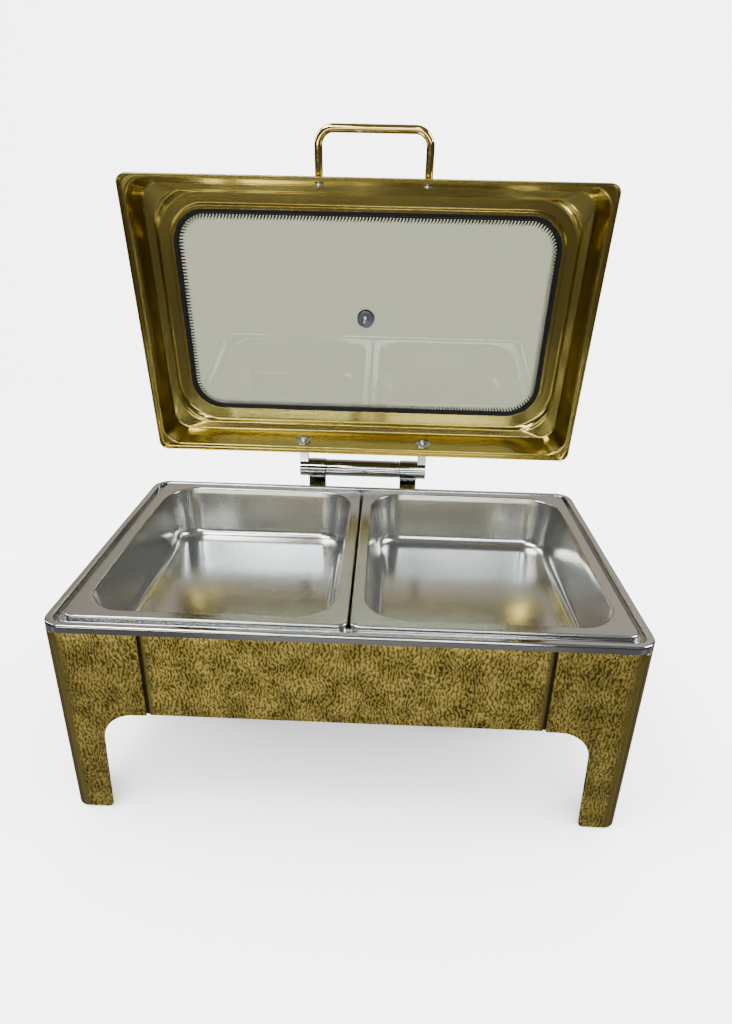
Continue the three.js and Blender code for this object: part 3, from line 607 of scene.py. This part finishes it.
def add_glass():
    """Flat plate with rounded corners, ground edge and vent hole; under it the seal and printed border."""
    plate = [
        [GLASS_INSET + 60, GLASS_LOW, 20], [GLASS_INSET + 0.5, GLASS_LOW, GLASS_CORNER - 0.5],
        [GLASS_INSET, GLASS_LOW + 0.5, GLASS_CORNER], [GLASS_INSET, GLASS_TOP - 0.5, GLASS_CORNER],
        [GLASS_INSET + 0.5, GLASS_TOP, GLASS_CORNER - 0.5], [GLASS_INSET + 60, GLASS_TOP, 20]]
    rows = lid_rows(plate)
    cols = rows.shape[1]
    angle = np.arctan2(rows[0, :, 1], rows[0, :, 0])
    hole = np.stack([VENT_HOLE * np.cos(angle), VENT_HOLE * np.sin(angle), np.zeros(cols)], -1)
    low, high = hole.copy(), hole.copy()
    low[:, 2], high[:, 2] = LID_SEAT + GLASS_LOW, LID_SEAT + GLASS_TOP
    rows = np.concatenate([low[None], rows, high[None]])
    faces = grid_faces(rows.shape[0], cols, True, True)
    glass = piece("window_pane", open_lid(rows), faces, "lid", "window_glass", "lid_glass", smooth=False)
    coat(glass, GLASS)
    seal = lid_rows([[38.4, 46.5, 43], [38.4, 47.3, 43], [45.6, 47.3, 36], [45.3, 46.5, 36.3]])
    ring = piece("window_seal", open_lid(seal), grid_faces(4, seal.shape[1], True, True), "lid",
                 "seal_silicone", "glass_seal", smooth=False)
    coat(ring, SILICONE)
    outside, inside = PRINTED_BAND
    band = lid_rows([[outside, GLASS_LOW - 0.12, 41.6], [outside, GLASS_LOW - 0.02, 41.6],
                     [inside, GLASS_LOW - 0.02, PRINTED_CORNER], [inside, GLASS_LOW - 0.12, PRINTED_CORNER]])
    border = piece("printed_border", open_lid(band), grid_faces(4, band.shape[1], True, True), "lid",
                   "seal_silicone", smooth=False)
    coat(border, FRIT)
    add_dots()


def add_dots():
    """Three rows of eight-sided dots inside the border; each row is finer and set between the last."""
    pitch = 3.9
    points, faces = [], []
    for row, (inset, radius) in enumerate([(48.4, 1.4), (50.35, 1.2), (52.3, 0.75)]):
        half_x, half_y = LID[0] / 2 - inset, LID[1] / 2 - inset
        corner = PRINTED_CORNER - (inset - PRINTED_BAND[1])
        loop = rectangle_rows((2 * half_x, 2 * half_y), [[0, 0, corner]], 60, 90)[0, :, :2]
        loop = np.concatenate([loop, loop[:1]])
        run = np.concatenate([[0], np.cumsum(np.linalg.norm(np.diff(loop, axis=0), axis=1))])
        count = int(round(run[-1] / pitch))
        at = (np.arange(count) + 0.5 * (row % 2)) / count * run[-1]
        centre = np.stack([np.interp(at, run, loop[:, 0]), np.interp(at, run, loop[:, 1])], -1)
        angle = np.arange(8) / 8 * 2 * math.pi
        disc = np.stack([np.cos(angle), np.sin(angle)], -1) * radius
        flat = centre[:, None] + disc[None]
        for height in (GLASS_LOW - 0.10, GLASS_LOW - 0.02):
            z = np.full(flat.shape[:2] + (1,), LID_SEAT + height)
            points.append(np.concatenate([flat, z], -1).reshape(-1, 3))
        start = sum(len(p) for p in points[:-2])
        i = np.arange(8)
        base = start + np.arange(count)[:, None] * 8
        upper = base + count * 8
        faces += (base + i[::-1]).tolist() + (upper + i).tolist()
        j = (i + 1) % 8
        walls = np.stack([base + i, base + j, upper + j, upper + i], -1)
        faces += walls.reshape(-1, 4).tolist()
    discs = open_lid(np.concatenate(points))
    dots = piece("printed_dots", discs, faces, "lid", "seal_silicone", smooth=False)
    coat(dots, FRIT)


def add_handle():
    """Round rod: straight out from the wall, a quarter turn, straight across, a quarter turn and back."""
    height = LID_SEAT + HANDLE_HEIGHT
    wall = -(LID[1] / 2 - wall_inset(HANDLE_HEIGHT) + LID_SHEET)
    root = -(LID[1] / 2 - wall_inset(HANDLE_HEIGHT - HANDLE_ROD / 2) + LID_SHEET) - 0.3
    end = wall - HANDLE_REACH + HANDLE_ROD / 2
    half, bend = HANDLE_SPAN / 2, HANDLE_BEND
    leg = np.linspace(root, end + bend, 8)[:-1]
    first = np.stack([np.full_like(leg, -half), leg, np.full_like(leg, height)], -1)
    angle = np.linspace(math.pi, math.pi * 1.5, 17)
    corner = np.stack([-half + bend + bend * np.cos(angle), end + bend + bend * np.sin(angle),
                       np.full_like(angle, height)], -1)
    across = np.linspace(-half + bend, 0, 8)[1:-1]
    middle = np.stack([across, np.full_like(across, end), np.full_like(across, height)], -1)
    left = np.concatenate([first, corner, middle])
    right = left[::-1] * (-1, 1, 1)
    points, faces = rod(np.concatenate([left, right]), HANDLE_ROD / 2)
    points = open_lid(points + (HANDLE_OFFSET, 0, 0))
    bar = piece("bar_handle", points, faces, "lid", "gold_polished", "handle")
    coat(bar, GOLD_POLISHED)


def cross_head(radius, dome, recess, arm=0.62, width=0.17):
    """Screw head: a dome that is steeper towards its edge, with a tapered cross pressed into it."""
    foot = -0.6
    r = np.linspace(0, 1, 30)[1:]
    angle = np.arange(72) / 72 * 2 * math.pi
    rr, aa = np.meshgrid(r, angle, indexing="ij")
    x, y = rr * np.cos(aa), rr * np.sin(aa)
    height = dome * (1 - rr ** 2) * 0.75 + dome * 0.25 * (1 - rr ** 6)
    slot = np.minimum(np.abs(x), np.abs(y))
    reach = np.maximum(np.abs(x), np.abs(y))
    depth = np.clip((width - slot) / 0.07, 0, 1) * np.clip((arm - reach) / 0.16, 0, 1)
    height = height - recess * depth
    skirt = np.stack([x[-1] * radius, y[-1] * radius, np.full_like(angle, foot)], -1)[None]
    rows = np.concatenate([np.stack([x * radius, y * radius, height], -1), skirt])[::-1]
    points, faces = closed_surface(rows)
    points[-1] = (0, 0, dome - recess)
    points[-2] = (0, 0, foot)
    return points, faces


def merged(*parts):
    points, faces, start = [], [], 0
    for part_points, part_faces in parts:
        points.append(np.asarray(part_points))
        faces += [[i + start for i in face] for face in part_faces]
        start += len(part_points)
    return np.concatenate(points), faces


def washer(radius, hole, height):
    return ring_lathe([[hole, 0, 0.1], [radius, 0, 0.25], [radius, height, 0.3], [hole, height, 0.2]], 64)


def add_lid_hardware():
    """Screws set square to the lid's leaning walls, and the vent through the middle of the pane."""
    for side, sign in (("left", -1), ("right", 1)):
        base, base_faces = washer(9.5, 3.2, 1.1)
        head, head_faces = cross_head(4.6, 2.3, 1.3)
        points, faces = merged((base, base_faces), (head + (0, 0, 1.7), head_faces))
        inside = LID[1] / 2 - wall_inset(ARM_SCREW_HEIGHT) - 0.15
        at = (sign * ARM_PLACE, inside, LID_SEAT + ARM_SCREW_HEIGHT)
        points = open_lid(turn(points, "X", math.pi / 2 + WALL_LEAN, at))
        screw = piece(f"wall_screw_{side}", points, faces, "lid", "chrome_trim", f"lid_screw_{side}")
        coat(screw, CHROME)
        points, faces = cross_head(5.2, 2.7, 1.2)
        wall = -(LID[1] / 2 - wall_inset(HANDLE_HEIGHT)) + 0.75
        at = (HANDLE_OFFSET + sign * HANDLE_SPAN / 2, wall, LID_SEAT + HANDLE_HEIGHT)
        points = open_lid(turn(points, "X", -math.pi / 2 - WALL_LEAN, at))
        screw = piece(f"bar_screw_{side}", points, faces, "lid", "chrome_trim", f"handle_screw_{side}")
        coat(screw, CHROME)
    low = LID_SEAT + GLASS_LOW
    section = [[2.6, -1.1, 0.1], [4.4, -1.4, 0.4], [10.2, -1.4, 0.5], [10.8, -0.7, 0.5], [9.6, 0, 0.5],
               [2.6, 0, 0.1]]
    points, faces = ring_lathe(section, 72)
    points = open_lid(points + (0, 0, low - 0.15))
    coat(piece("vent_disc", points, faces, "lid", "chrome_trim", "vent_washer"), STEEL_VENT)
    points, faces = cross_head(4.2, 1.7, 1.4, 0.66, 0.19)
    points = open_lid(turn(points, "X", math.pi, (0, 0, low - 1.9)))
    coat(piece("vent_bolt", points, faces, "lid", "chrome_trim", "vent_screw"), CHROME)
    section = [[0, -3.6, 0], [2.3, -3.6, 0.2], [2.3, 0.3, 0.2], [10.6, 0.3, 0.5], [11.2, 2.2, 1],
               [10.4, 6, 3], [6, 9.2, 5], [0, 10, 0]]
    points, faces = lathe(section, 72)
    points = open_lid(points + (0, 0, LID_SEAT + GLASS_TOP))
    coat(piece("vent_knob", points, faces, "lid", "chrome_trim", "vent_cap"), CHROME)


# ---- Hinge ----

def barrel(radius, length, hole, chamfer=0.8, grooves=()):
    """Turned tube along X: bored ring with rounded ends and shallow grooves at the given places."""
    half = length / 2
    outer = [[radius, -half, chamfer]]
    for at in grooves:
        outer += [[radius, at - 0.9, 0.3], [radius - 0.7, at - 0.5, 0.2], [radius - 0.7, at + 0.5, 0.2],
                  [radius, at + 0.9, 0.3]]
    outer.append([radius, half, chamfer])
    section = [[hole, -half, 0.3]] + outer + [[hole, half, 0.3]]
    points, faces = ring_lathe(section, 72)
    return turn(points, "Y", math.pi / 2), faces


def add_hinge():
    """Damper sleeve between two fixed collars on brackets; the arms and the shaft turn with the lid."""
    at = np.array((0, HINGE_Y, HINGE_Z))
    points, faces = barrel(SLEEVE[0] / 2, SLEEVE[1], 5.3, 1.5, (-45.5, 45.5))
    coat(piece("damper_sleeve", place(points + at), faces, "stand", "chrome_trim", "hinge_sleeve"), CHROME)
    end = ARM_PLACE + 6
    points, faces = lathe([[0, -end, 0], [5, -end, 0.8], [5, end, 0.8], [0, end, 0]], 48)
    points = open_lid(turn(points, "Y", math.pi / 2) + at)
    coat(piece("hinge_pin", points, faces, "lid", "chrome_trim", "hinge_shaft"), CHROME)
    for side, sign in (("left", -1), ("right", 1)):
        coat(softened(f"hinge_bracket_{side}", 1.1, "stand"), CHROME)
        coat(softened(f"hinge_arm_{side}", 1.1, "lid"), CHROME)
        x = sign * (SLEEVE[1] / 2 + HINGE_GAP + COLLAR_LENGTH / 2)
        for where, drop in (("upper", 23), ("lower", 56)):
            points, faces = cross_head(4, 2.2, 1.1)
            points = turn(points, "X", -math.pi / 2, (x, STAND[1] / 2 + 4.3, RIM_TOP - drop))
            name = f"bracket_screw_{side}_{where}"
            coat(piece(f"{name}_head", place(points), faces, "stand", "chrome_trim", name), CHROME)


# ---- Stand ----

def leg_reach(z, plate):
    """Half width of a leg plate at each height: rounded foot, taper, arch fillet, full plate."""
    taper = FOOT + FOOT_TAPER * np.clip((z - 1.5) / (ARCH_TOP - ARCH_RADIUS), 0, 1)
    low = np.clip(5 - (z - 1.5), 0, 5)
    foot = taper - 5 + np.sqrt(np.clip(25 - low ** 2, 0, None))
    rise = np.clip(z - (ARCH_TOP - ARCH_RADIUS), 0, ARCH_RADIUS)
    arch = FOOT + FOOT_TAPER + ARCH_RADIUS - np.sqrt(np.clip(ARCH_RADIUS ** 2 - rise ** 2, 0, None))
    reach = np.where(z > ARCH_TOP - ARCH_RADIUS, arch, foot)
    return np.where(z > ARCH_TOP + 0.01, plate, reach)


def add_leg(side, sx, sy):
    """Bent sheet: columns run along the unfolded width, straight, round the bend, straight; rows go up."""
    t = np.linspace(0, 1, 9)
    z = np.concatenate([
        1.5 + 5 * (1 - np.cos(t * math.pi / 2)), np.linspace(6.5, ARCH_TOP - ARCH_RADIUS, 12)[1:],
        ARCH_TOP - ARCH_RADIUS + ARCH_RADIUS * np.sin(np.linspace(0, 1, 17)[1:] * math.pi / 2),
        [ARCH_TOP + 0.3], np.linspace(ARCH_TOP + 4, STAND_TOP, 10)])
    bend = STAND_CORNER
    arc = np.linspace(0, math.pi / 2, 13)
    plate = np.linspace(0, 1, 12)
    front, other = leg_reach(z, LEG_FRONT), leg_reach(z, LEG_SIDE)
    rows = []
    for height, reach_front, reach_side in zip(z, front, other):
        x = -reach_front + plate * (reach_front - bend)
        first = np.stack([x, np.zeros_like(x)], -1)
        turned_edge = np.stack([-bend + bend * np.sin(arc), -bend + bend * np.cos(arc)], -1)
        y = -bend - plate * (reach_side - bend)
        last = np.stack([np.zeros_like(y), y], -1)
        flat = np.concatenate([first, turned_edge[1:-1], last])
        rows.append(np.column_stack([flat, np.full(len(flat), height)]))
    rows = np.array(rows)
    cols = rows.shape[1]
    points = rows.reshape(-1, 3) * (sx, sy, 1) + (sx * STAND[0] / 2, sy * STAND[1] / 2, 0)
    faces = grid_faces(len(rows), cols)
    if sx * sy < 0:
        faces = [face[::-1] for face in faces]
    from_corner = STAND[0] / 2 - np.abs(points[:, 0]) + STAND[1] / 2 - np.abs(points[:, 1])
    leg = piece(f"leg_{side}_sheet", place(points), faces, "stand", "gold_hammered", f"leg_{side}")
    paint(leg, np.clip((13.5 - from_corner) / 2.0, 0, 1))
    thicken(leg)
    coat(leg, GOLD_SHADED_LEG)


def paint(obj, values):
    """Stores how plain the sheet is at each point, from 0 hammered to 1 smooth."""
    attribute = obj.data.attributes.new("plain", "FLOAT", "POINT")
    attribute.data.foreach_set("value", np.asarray(values, np.float32))


def thicken(obj):
    wall = obj.modifiers.new("sheet", "SOLIDIFY")
    wall.thickness = SHEET * MM
    wall.offset = -1
    wall.use_even_offset = True
    edge = obj.modifiers.new("edge", "BEVEL")
    edge.width = 0.25 * MM
    edge.segments = 2
    edge.limit_method = "ANGLE"
    edge.angle_limit = math.radians(60)


def add_panel(name, length, horizontal, sign):
    """Flat sheet whose edges at the seams turn in by a quarter circle; the turned strips are smooth.

    The turned edges stop a little lower than the face, clear of the channel under the pan's rim.
    """
    half, bend = length / 2, 2.0
    edge_top = STAND_TOP - 1.2
    angle = np.linspace(math.pi / 2, 0, 7)
    turned_edge = np.stack([half - bend + bend * np.cos(angle), bend - bend * np.sin(angle)], -1)
    flat_part = np.linspace(0, half - bend, 40)[:-1]
    straight = np.stack([flat_part, np.zeros_like(flat_part)], -1)
    right = np.concatenate([straight, turned_edge, [[half, bend + 4]]])
    left = right[::-1][:-1] * (-1, 1)
    path = np.concatenate([left, right])
    z = np.linspace(ARCH_TOP, STAND_TOP, 12)
    shape = (len(z), len(path))
    along, depth, height = (np.broadcast_to(v, shape) for v in (path[:, 0], path[:, 1], z[:, None]))
    height = np.where(depth > bend - 0.1, np.minimum(height, edge_top), height)
    if horizontal:
        face = STAND[1] / 2
        rows = np.stack([along, sign * (face - depth), height], -1)
    else:
        face = STAND[0] / 2
        rows = np.stack([sign * (face - depth), along, height], -1)
    faces = grid_faces(*shape)
    outward = (sign < 0) if horizontal else (sign > 0)
    if not outward:
        faces = [f[::-1] for f in faces]
    panel = piece(f"{name}_sheet", place(rows.reshape(-1, 3)), faces, "stand", "gold_hammered", name)
    paint(panel, np.clip((np.abs(along.reshape(-1)) - (half - 6.5)) / 1.5, 0, 1))
    thicken(panel)
    coat(panel, GOLD_HAMMERED)


def add_seam_strip(horizontal, sign, at):
    """Strip behind a seam and the edge of the leg beside it, from the arch up to the inner frame, in a
    near-black sheet that is painted shade for the dark inside of the stand.
    """
    width, thick, low, high = SEAM + 5.9, 3.0, ARCH_TOP + 0.1, STAND_TOP - 25.4
    face = (STAND[1] if horizontal else STAND[0]) / 2 - SHEET - 0.1
    side = f"{'y' if horizontal else 'x'}{'p' if sign > 0 else 'm'}{'p' if at > 0 else 'm'}"
    at += math.copysign(3.0, at)
    rows = rectangle_rows((width, thick), filleted(
        [[0.3, low, 0.2, 0], [0, low, 0.3, 0.2], [0, high, 0.3, 0.2], [0.3, high, 0.2, 0]], 2), 3, 2)
    points, faces = closed_surface(rows)
    if horizontal:
        points = points + (at, sign * (face - thick / 2), 0)
    else:
        points = turn(points, "Z", math.pi / 2, (sign * (face - thick / 2), at, 0))
    coat(piece(f"seam_strip_{side}", place(points), faces, "stand", "gold_hammered"), SHADE_SHEET)


def add_stand():
    corners = {"front_left": (-1, -1), "front_right": (1, -1), "back_left": (-1, 1), "back_right": (1, 1)}
    for side, (sx, sy) in corners.items():
        add_leg(side, sx, sy)
        pad_half = (FOOT - 18) / 2
        at = (sx * (STAND[0] / 2 - 1.8 - pad_half), sy * (STAND[1] / 2 - 1.8 - pad_half), 0)
        rows = rectangle_rows((2 * pad_half, 2 * pad_half), filleted([
            [5, 0, 4, 0], [0, 0, 9.9, 1.0], [0, 9, 9.9, 0.8], [5, 9, 4, 0]], 4), 8, 3)
        points, faces = closed_surface(rows)
        pad = piece(f"foot_{side}", place(points + at), faces, "stand", "foot_plastic", f"foot_pad_{side}")
        coat(pad, PLASTIC)
    front = STAND[0] - 2 * (LEG_FRONT + SEAM)
    other = STAND[1] - 2 * (LEG_SIDE + SEAM)
    add_panel("front_panel", front, True, -1)
    add_panel("back_panel", front, True, 1)
    add_panel("left_panel", other, False, -1)
    add_panel("right_panel", other, False, 1)
    for sign in (-1, 1):
        for side in (-1, 1):
            add_seam_strip(True, sign, side * (front + SEAM) / 2)
            add_seam_strip(False, sign, side * (other + SEAM) / 2)
    # The top frame is steel; its near-black coat is painted shade that darkens the seams.
    coat(softened("top_frame", 0.4, "stand"), SHADE_SHEET)


# ---- Burners ----

def add_burner_rod(where, sign):
    """Bent wire: down from the clip, a quarter turn, level to the middle, then the same mirrored."""
    bend, top = 14.0, ARCH_TOP + 30
    angle = np.linspace(math.pi, 1.5 * math.pi, 13)
    down = np.linspace(top, ROD_HEIGHT + bend, 6)[:-1]
    level = np.linspace(-ROD_REACH + bend, 0, 8)[1:-1]
    x = np.concatenate([np.full_like(down, -ROD_REACH), -ROD_REACH + bend + bend * np.cos(angle), level])
    y = np.concatenate([down, ROD_HEIGHT + bend + bend * np.sin(angle), np.full_like(level, ROD_HEIGHT)])
    left = np.stack([x, y, np.zeros(len(x))], -1)
    points, faces = rod(np.concatenate([left, left[::-1] * (-1, 1, 1)]), ROD_RADIUS, 24)
    points = turn(points, "X", math.pi / 2, (0, sign * ROD_SPACING / 2, 0))
    name = f"burner_rod_{where}"
    coat(piece(f"{name}_wire", place(points), faces, "stand", "chrome_trim", name), CHROME)


def add_cup(side, sign):
    """Turned fuel cup with a lug and a pin at its outer side, and the snuffer that swings on the pin."""
    base, middle = ROD_HEIGHT + 3.8, sign * CUP_PLACE
    outer, tall = CUP[0] / 2, CUP[1]
    points, faces = lathe([
        [0, 0, 0], [outer - 0.4, 0, 4], [outer, tall - 0.6, 0.6], [outer + 2, tall, 0.6],
        [outer + 2, tall + 1, 0.5], [outer - 1.1, tall + 1, 0.8], [outer - 1.4, 1.2, 4], [0, 1.2, 0]], 96, 6)
    points = place(points + (middle, 0, base))
    coat(piece(f"cup_{side}_bowl", points, faces, "stand", "plain_steel", f"fuel_cup_{side}"), STEEL_PLAIN)
    rows = rectangle_rows((15.6, 12), filleted([
        [3, tall - 17, 2, 0], [0, tall - 17, 2, 0.8], [0, tall - 7, 2, 0.8], [3, tall - 7, 2, 0]], 4), 5, 2)
    points, faces = closed_surface(rows)
    points = place(points + (middle - sign * (outer + 7.5), 0, base))
    coat(piece(f"cup_{side}_lug", points, faces, "stand", "plain_steel"), STEEL_PLAIN)
    coat(softened(f"snuffer_{side}", 0.35, f"snuffer_{side}", 50), STEEL_PLAIN)
    points, faces = lathe([[0, 0, 0], [2, 0, 0.3], [2, 14, 0.9], [0, 14, 0]], 32)
    points = place(points + (middle - sign * (outer + 10), 0, base + tall - 6.7))
    coat(piece(f"pin_{side}", points, faces, "stand", "chrome_trim", f"snuffer_pin_{side}"), CHROME)


def add_clip(side, sign):
    """Clip that holds both rods to the side panel, with a domed rivet at each end."""
    coat(softened(f"rod_clip_{side}", 0.5, "stand"), STEEL_PLAIN)
    for where, y_sign in (("front", -1), ("back", 1)):
        points, faces = lathe([[0, 0, 0], [3.5, 0, 0.2], [3.1, 1.3, 0.9], [1.4, 2.0, 1], [0, 2.1, 0]], 32)
        at = (sign * CLIP_FACE, y_sign * (ROD_SPACING / 2 + 13), ARCH_TOP + 20)
        points = place(turn(points, "Y", -sign * math.pi / 2, at))
        name = f"clip_rivet_{side}_{where}"
        coat(piece(f"{name}_head", points, faces, "stand", "chrome_trim", name), CHROME)


def add_burners():
    add_burner_rod("front", -1)
    add_burner_rod("back", 1)
    for side, sign in (("left", -1), ("right", 1)):
        add_cup(side, sign)
        add_clip(side, sign)


# ---- Room, lights and camera ----

def add_room():
    """Pale floor that curves up into a wall well behind the object."""
    front, back, bend, half_width, tall = -3000, 1500, 900, 4000, 4000
    curve = np.linspace(0, 1, 12)[1:] * math.pi / 2
    y = np.concatenate([np.linspace(front, back, 10), back + bend * np.sin(curve), [back + bend]])
    z = np.concatenate([np.zeros(10), bend - bend * np.cos(curve), [tall]])
    x = np.linspace(-half_width, half_width, 8)
    shape = (len(y), len(x))
    across, along, up = (np.broadcast_to(v, shape) for v in (x, y[:, None], z[:, None]))
    rows = np.stack([across, along, up], -1)
    mesh = bpy.data.meshes.new("room")
    mesh.from_pydata((rows.reshape(-1, 3) * MM).tolist(), [], grid_faces(*shape))
    mesh.polygons.foreach_set("use_smooth", np.ones(len(mesh.polygons), bool))
    room = bpy.data.objects.new("room", mesh)
    bpy.context.scene.collection.objects.link(room)
    coat(room, plain_finish("pale_paper", (0.955, 0.955, 0.955), 0.9))
    room.visible_glossy = False


def add_light(name, at, aim, size, power, colour=(1, 1, 1)):
    data = bpy.data.lights.new(name, "AREA")
    data.shape = "RECTANGLE"
    data.size, data.size_y = size
    data.energy = power
    data.color = colour
    light = bpy.data.objects.new(name, data)
    bpy.context.scene.collection.objects.link(light)
    direction = np.subtract(aim, at)
    back = -direction / np.linalg.norm(direction)
    right = np.cross((0, 0, 1), back)
    right /= np.linalg.norm(right)
    up = np.cross(back, right)
    matrix = Matrix.Identity(4)
    for i in range(3):
        matrix[i][0], matrix[i][1], matrix[i][2], matrix[i][3] = right[i], up[i], back[i], at[i]
    light.matrix_world = matrix


def add_camera():
    """Eye a little right of the middle, looking down across the pans, level to within two degrees."""
    pitch, yaw, roll = math.radians(-24.52), math.radians(1.49), math.radians(-1.32)
    look = (Matrix.Rotation(yaw, 3, "Z") @ Matrix.Rotation(pitch, 3, "X") @ Matrix.Rotation(roll, 3, "Y"))
    right, forward, up = look.col
    data = bpy.data.cameras.new("camera")
    data.sensor_width = 36
    data.lens = 24.0
    camera = bpy.data.objects.new("camera", data)
    bpy.context.scene.collection.objects.link(camera)
    at = (0.0289, -0.686 + SHIFT_Y * MM, 0.3557 + RIM_TOP * MM)
    matrix = Matrix.Identity(4)
    for i in range(3):
        matrix[i][0], matrix[i][1], matrix[i][2], matrix[i][3] = right[i], up[i], -forward[i], at[i]
    camera.matrix_world = matrix
    bpy.context.scene.camera = camera


def add_world():
    """Even pale light for matt surfaces and through glass; polished metal mirrors a dim room instead.

    The room is brighter overhead, low down and on the far side, with cloudy patches.
    """
    world = bpy.data.worlds.new("studio")
    world.use_nodes = True
    tree = world.node_tree
    background = tree.nodes["Background"]
    coord = node(tree, "ShaderNodeTexCoord")
    split = node(tree, "ShaderNodeSeparateXYZ")
    tree.links.new(coord.outputs["Generated"], split.inputs[0])
    above = ramp(tree, split.outputs[2], 0.15, 0.9, 0.0, 1.0)
    below = ramp(tree, split.outputs[2], -0.02, -0.55, 0.0, 1.0)
    cloud = node(tree, "ShaderNodeTexNoise", in_2=1.7, in_3=2.0, in_4=0.5)
    tree.links.new(coord.outputs["Generated"], cloud.inputs[0])
    patches = ramp(tree, cloud.outputs[0], 0.42, 0.62, 0.55, 1.5)
    dim = mix_colour(tree, above, (0.025, 0.025, 0.028, 1), (0.20, 0.215, 0.23, 1))
    behind = maths(tree, "MULTIPLY", ramp(tree, split.outputs[1], 0.15, 0.75),
                   ramp(tree, split.outputs[2], 0.05, 0.3))
    backed = mix_colour(tree, behind, dim, (0.40, 0.365, 0.32, 1))
    room = mix_colour(tree, below, backed, (0.24, 0.235, 0.23, 1))
    path = node(tree, "ShaderNodeLightPath")
    not_through = maths(tree, "SUBTRACT", 1.0, path.outputs["Is Transmission Ray"])
    mirrored = maths(tree, "MULTIPLY", path.outputs["Is Glossy Ray"], not_through)
    level = mix_colour(tree, mirrored, (5.2, 5.2, 5.2, 1), patches)
    tree.links.new(mix_colour(tree, mirrored, (1, 1, 1, 1), room), background.inputs[0])
    tree.links.new(level, background.inputs[1])
    bpy.context.scene.world = world


add_water_pan()
add_food_pan("left", -1)
add_food_pan("right", 1)
add_lid_shell()
add_glass()
add_handle()
add_lid_hardware()
add_hinge()
add_stand()
add_burners()
add_room()
add_world()
add_light("key", (-0.9, -0.4, 2.2), (0, 0, 0.2), (1.1, 0.7), 48)
add_light("window", (1.9, 0.1, 1.6), (0, 0, 0.25), (0.5, 1.2), 40, (0.90, 0.97, 1.0))
add_light("left_strip", (-1.9, 0.5, 1.5), (0, 0, 0.3), (0.3, 1.3), 10, (0.92, 0.97, 1.0))
add_light("front_left", (-0.85, -4.0, 3.85), (0, 0, 0.2), (1.1, 0.4), 70, (0.78, 0.91, 1.0))
add_light("front_right", (0.75, -4.0, 3.85), (0, 0, 0.2), (0.9, 0.4), 20, (0.84, 0.95, 1.0))
add_light("front_mid", (0.25, -2.3, 1.45), (0, 0, 0.2), (0.9, 0.22), 13, (0.92, 0.98, 1.0))
add_light("low_front", (-0.4, -2.0, 0.25), (0, 0, 0.15), (2.2, 0.2), 12, (1.0, 0.95, 0.84))
add_camera()
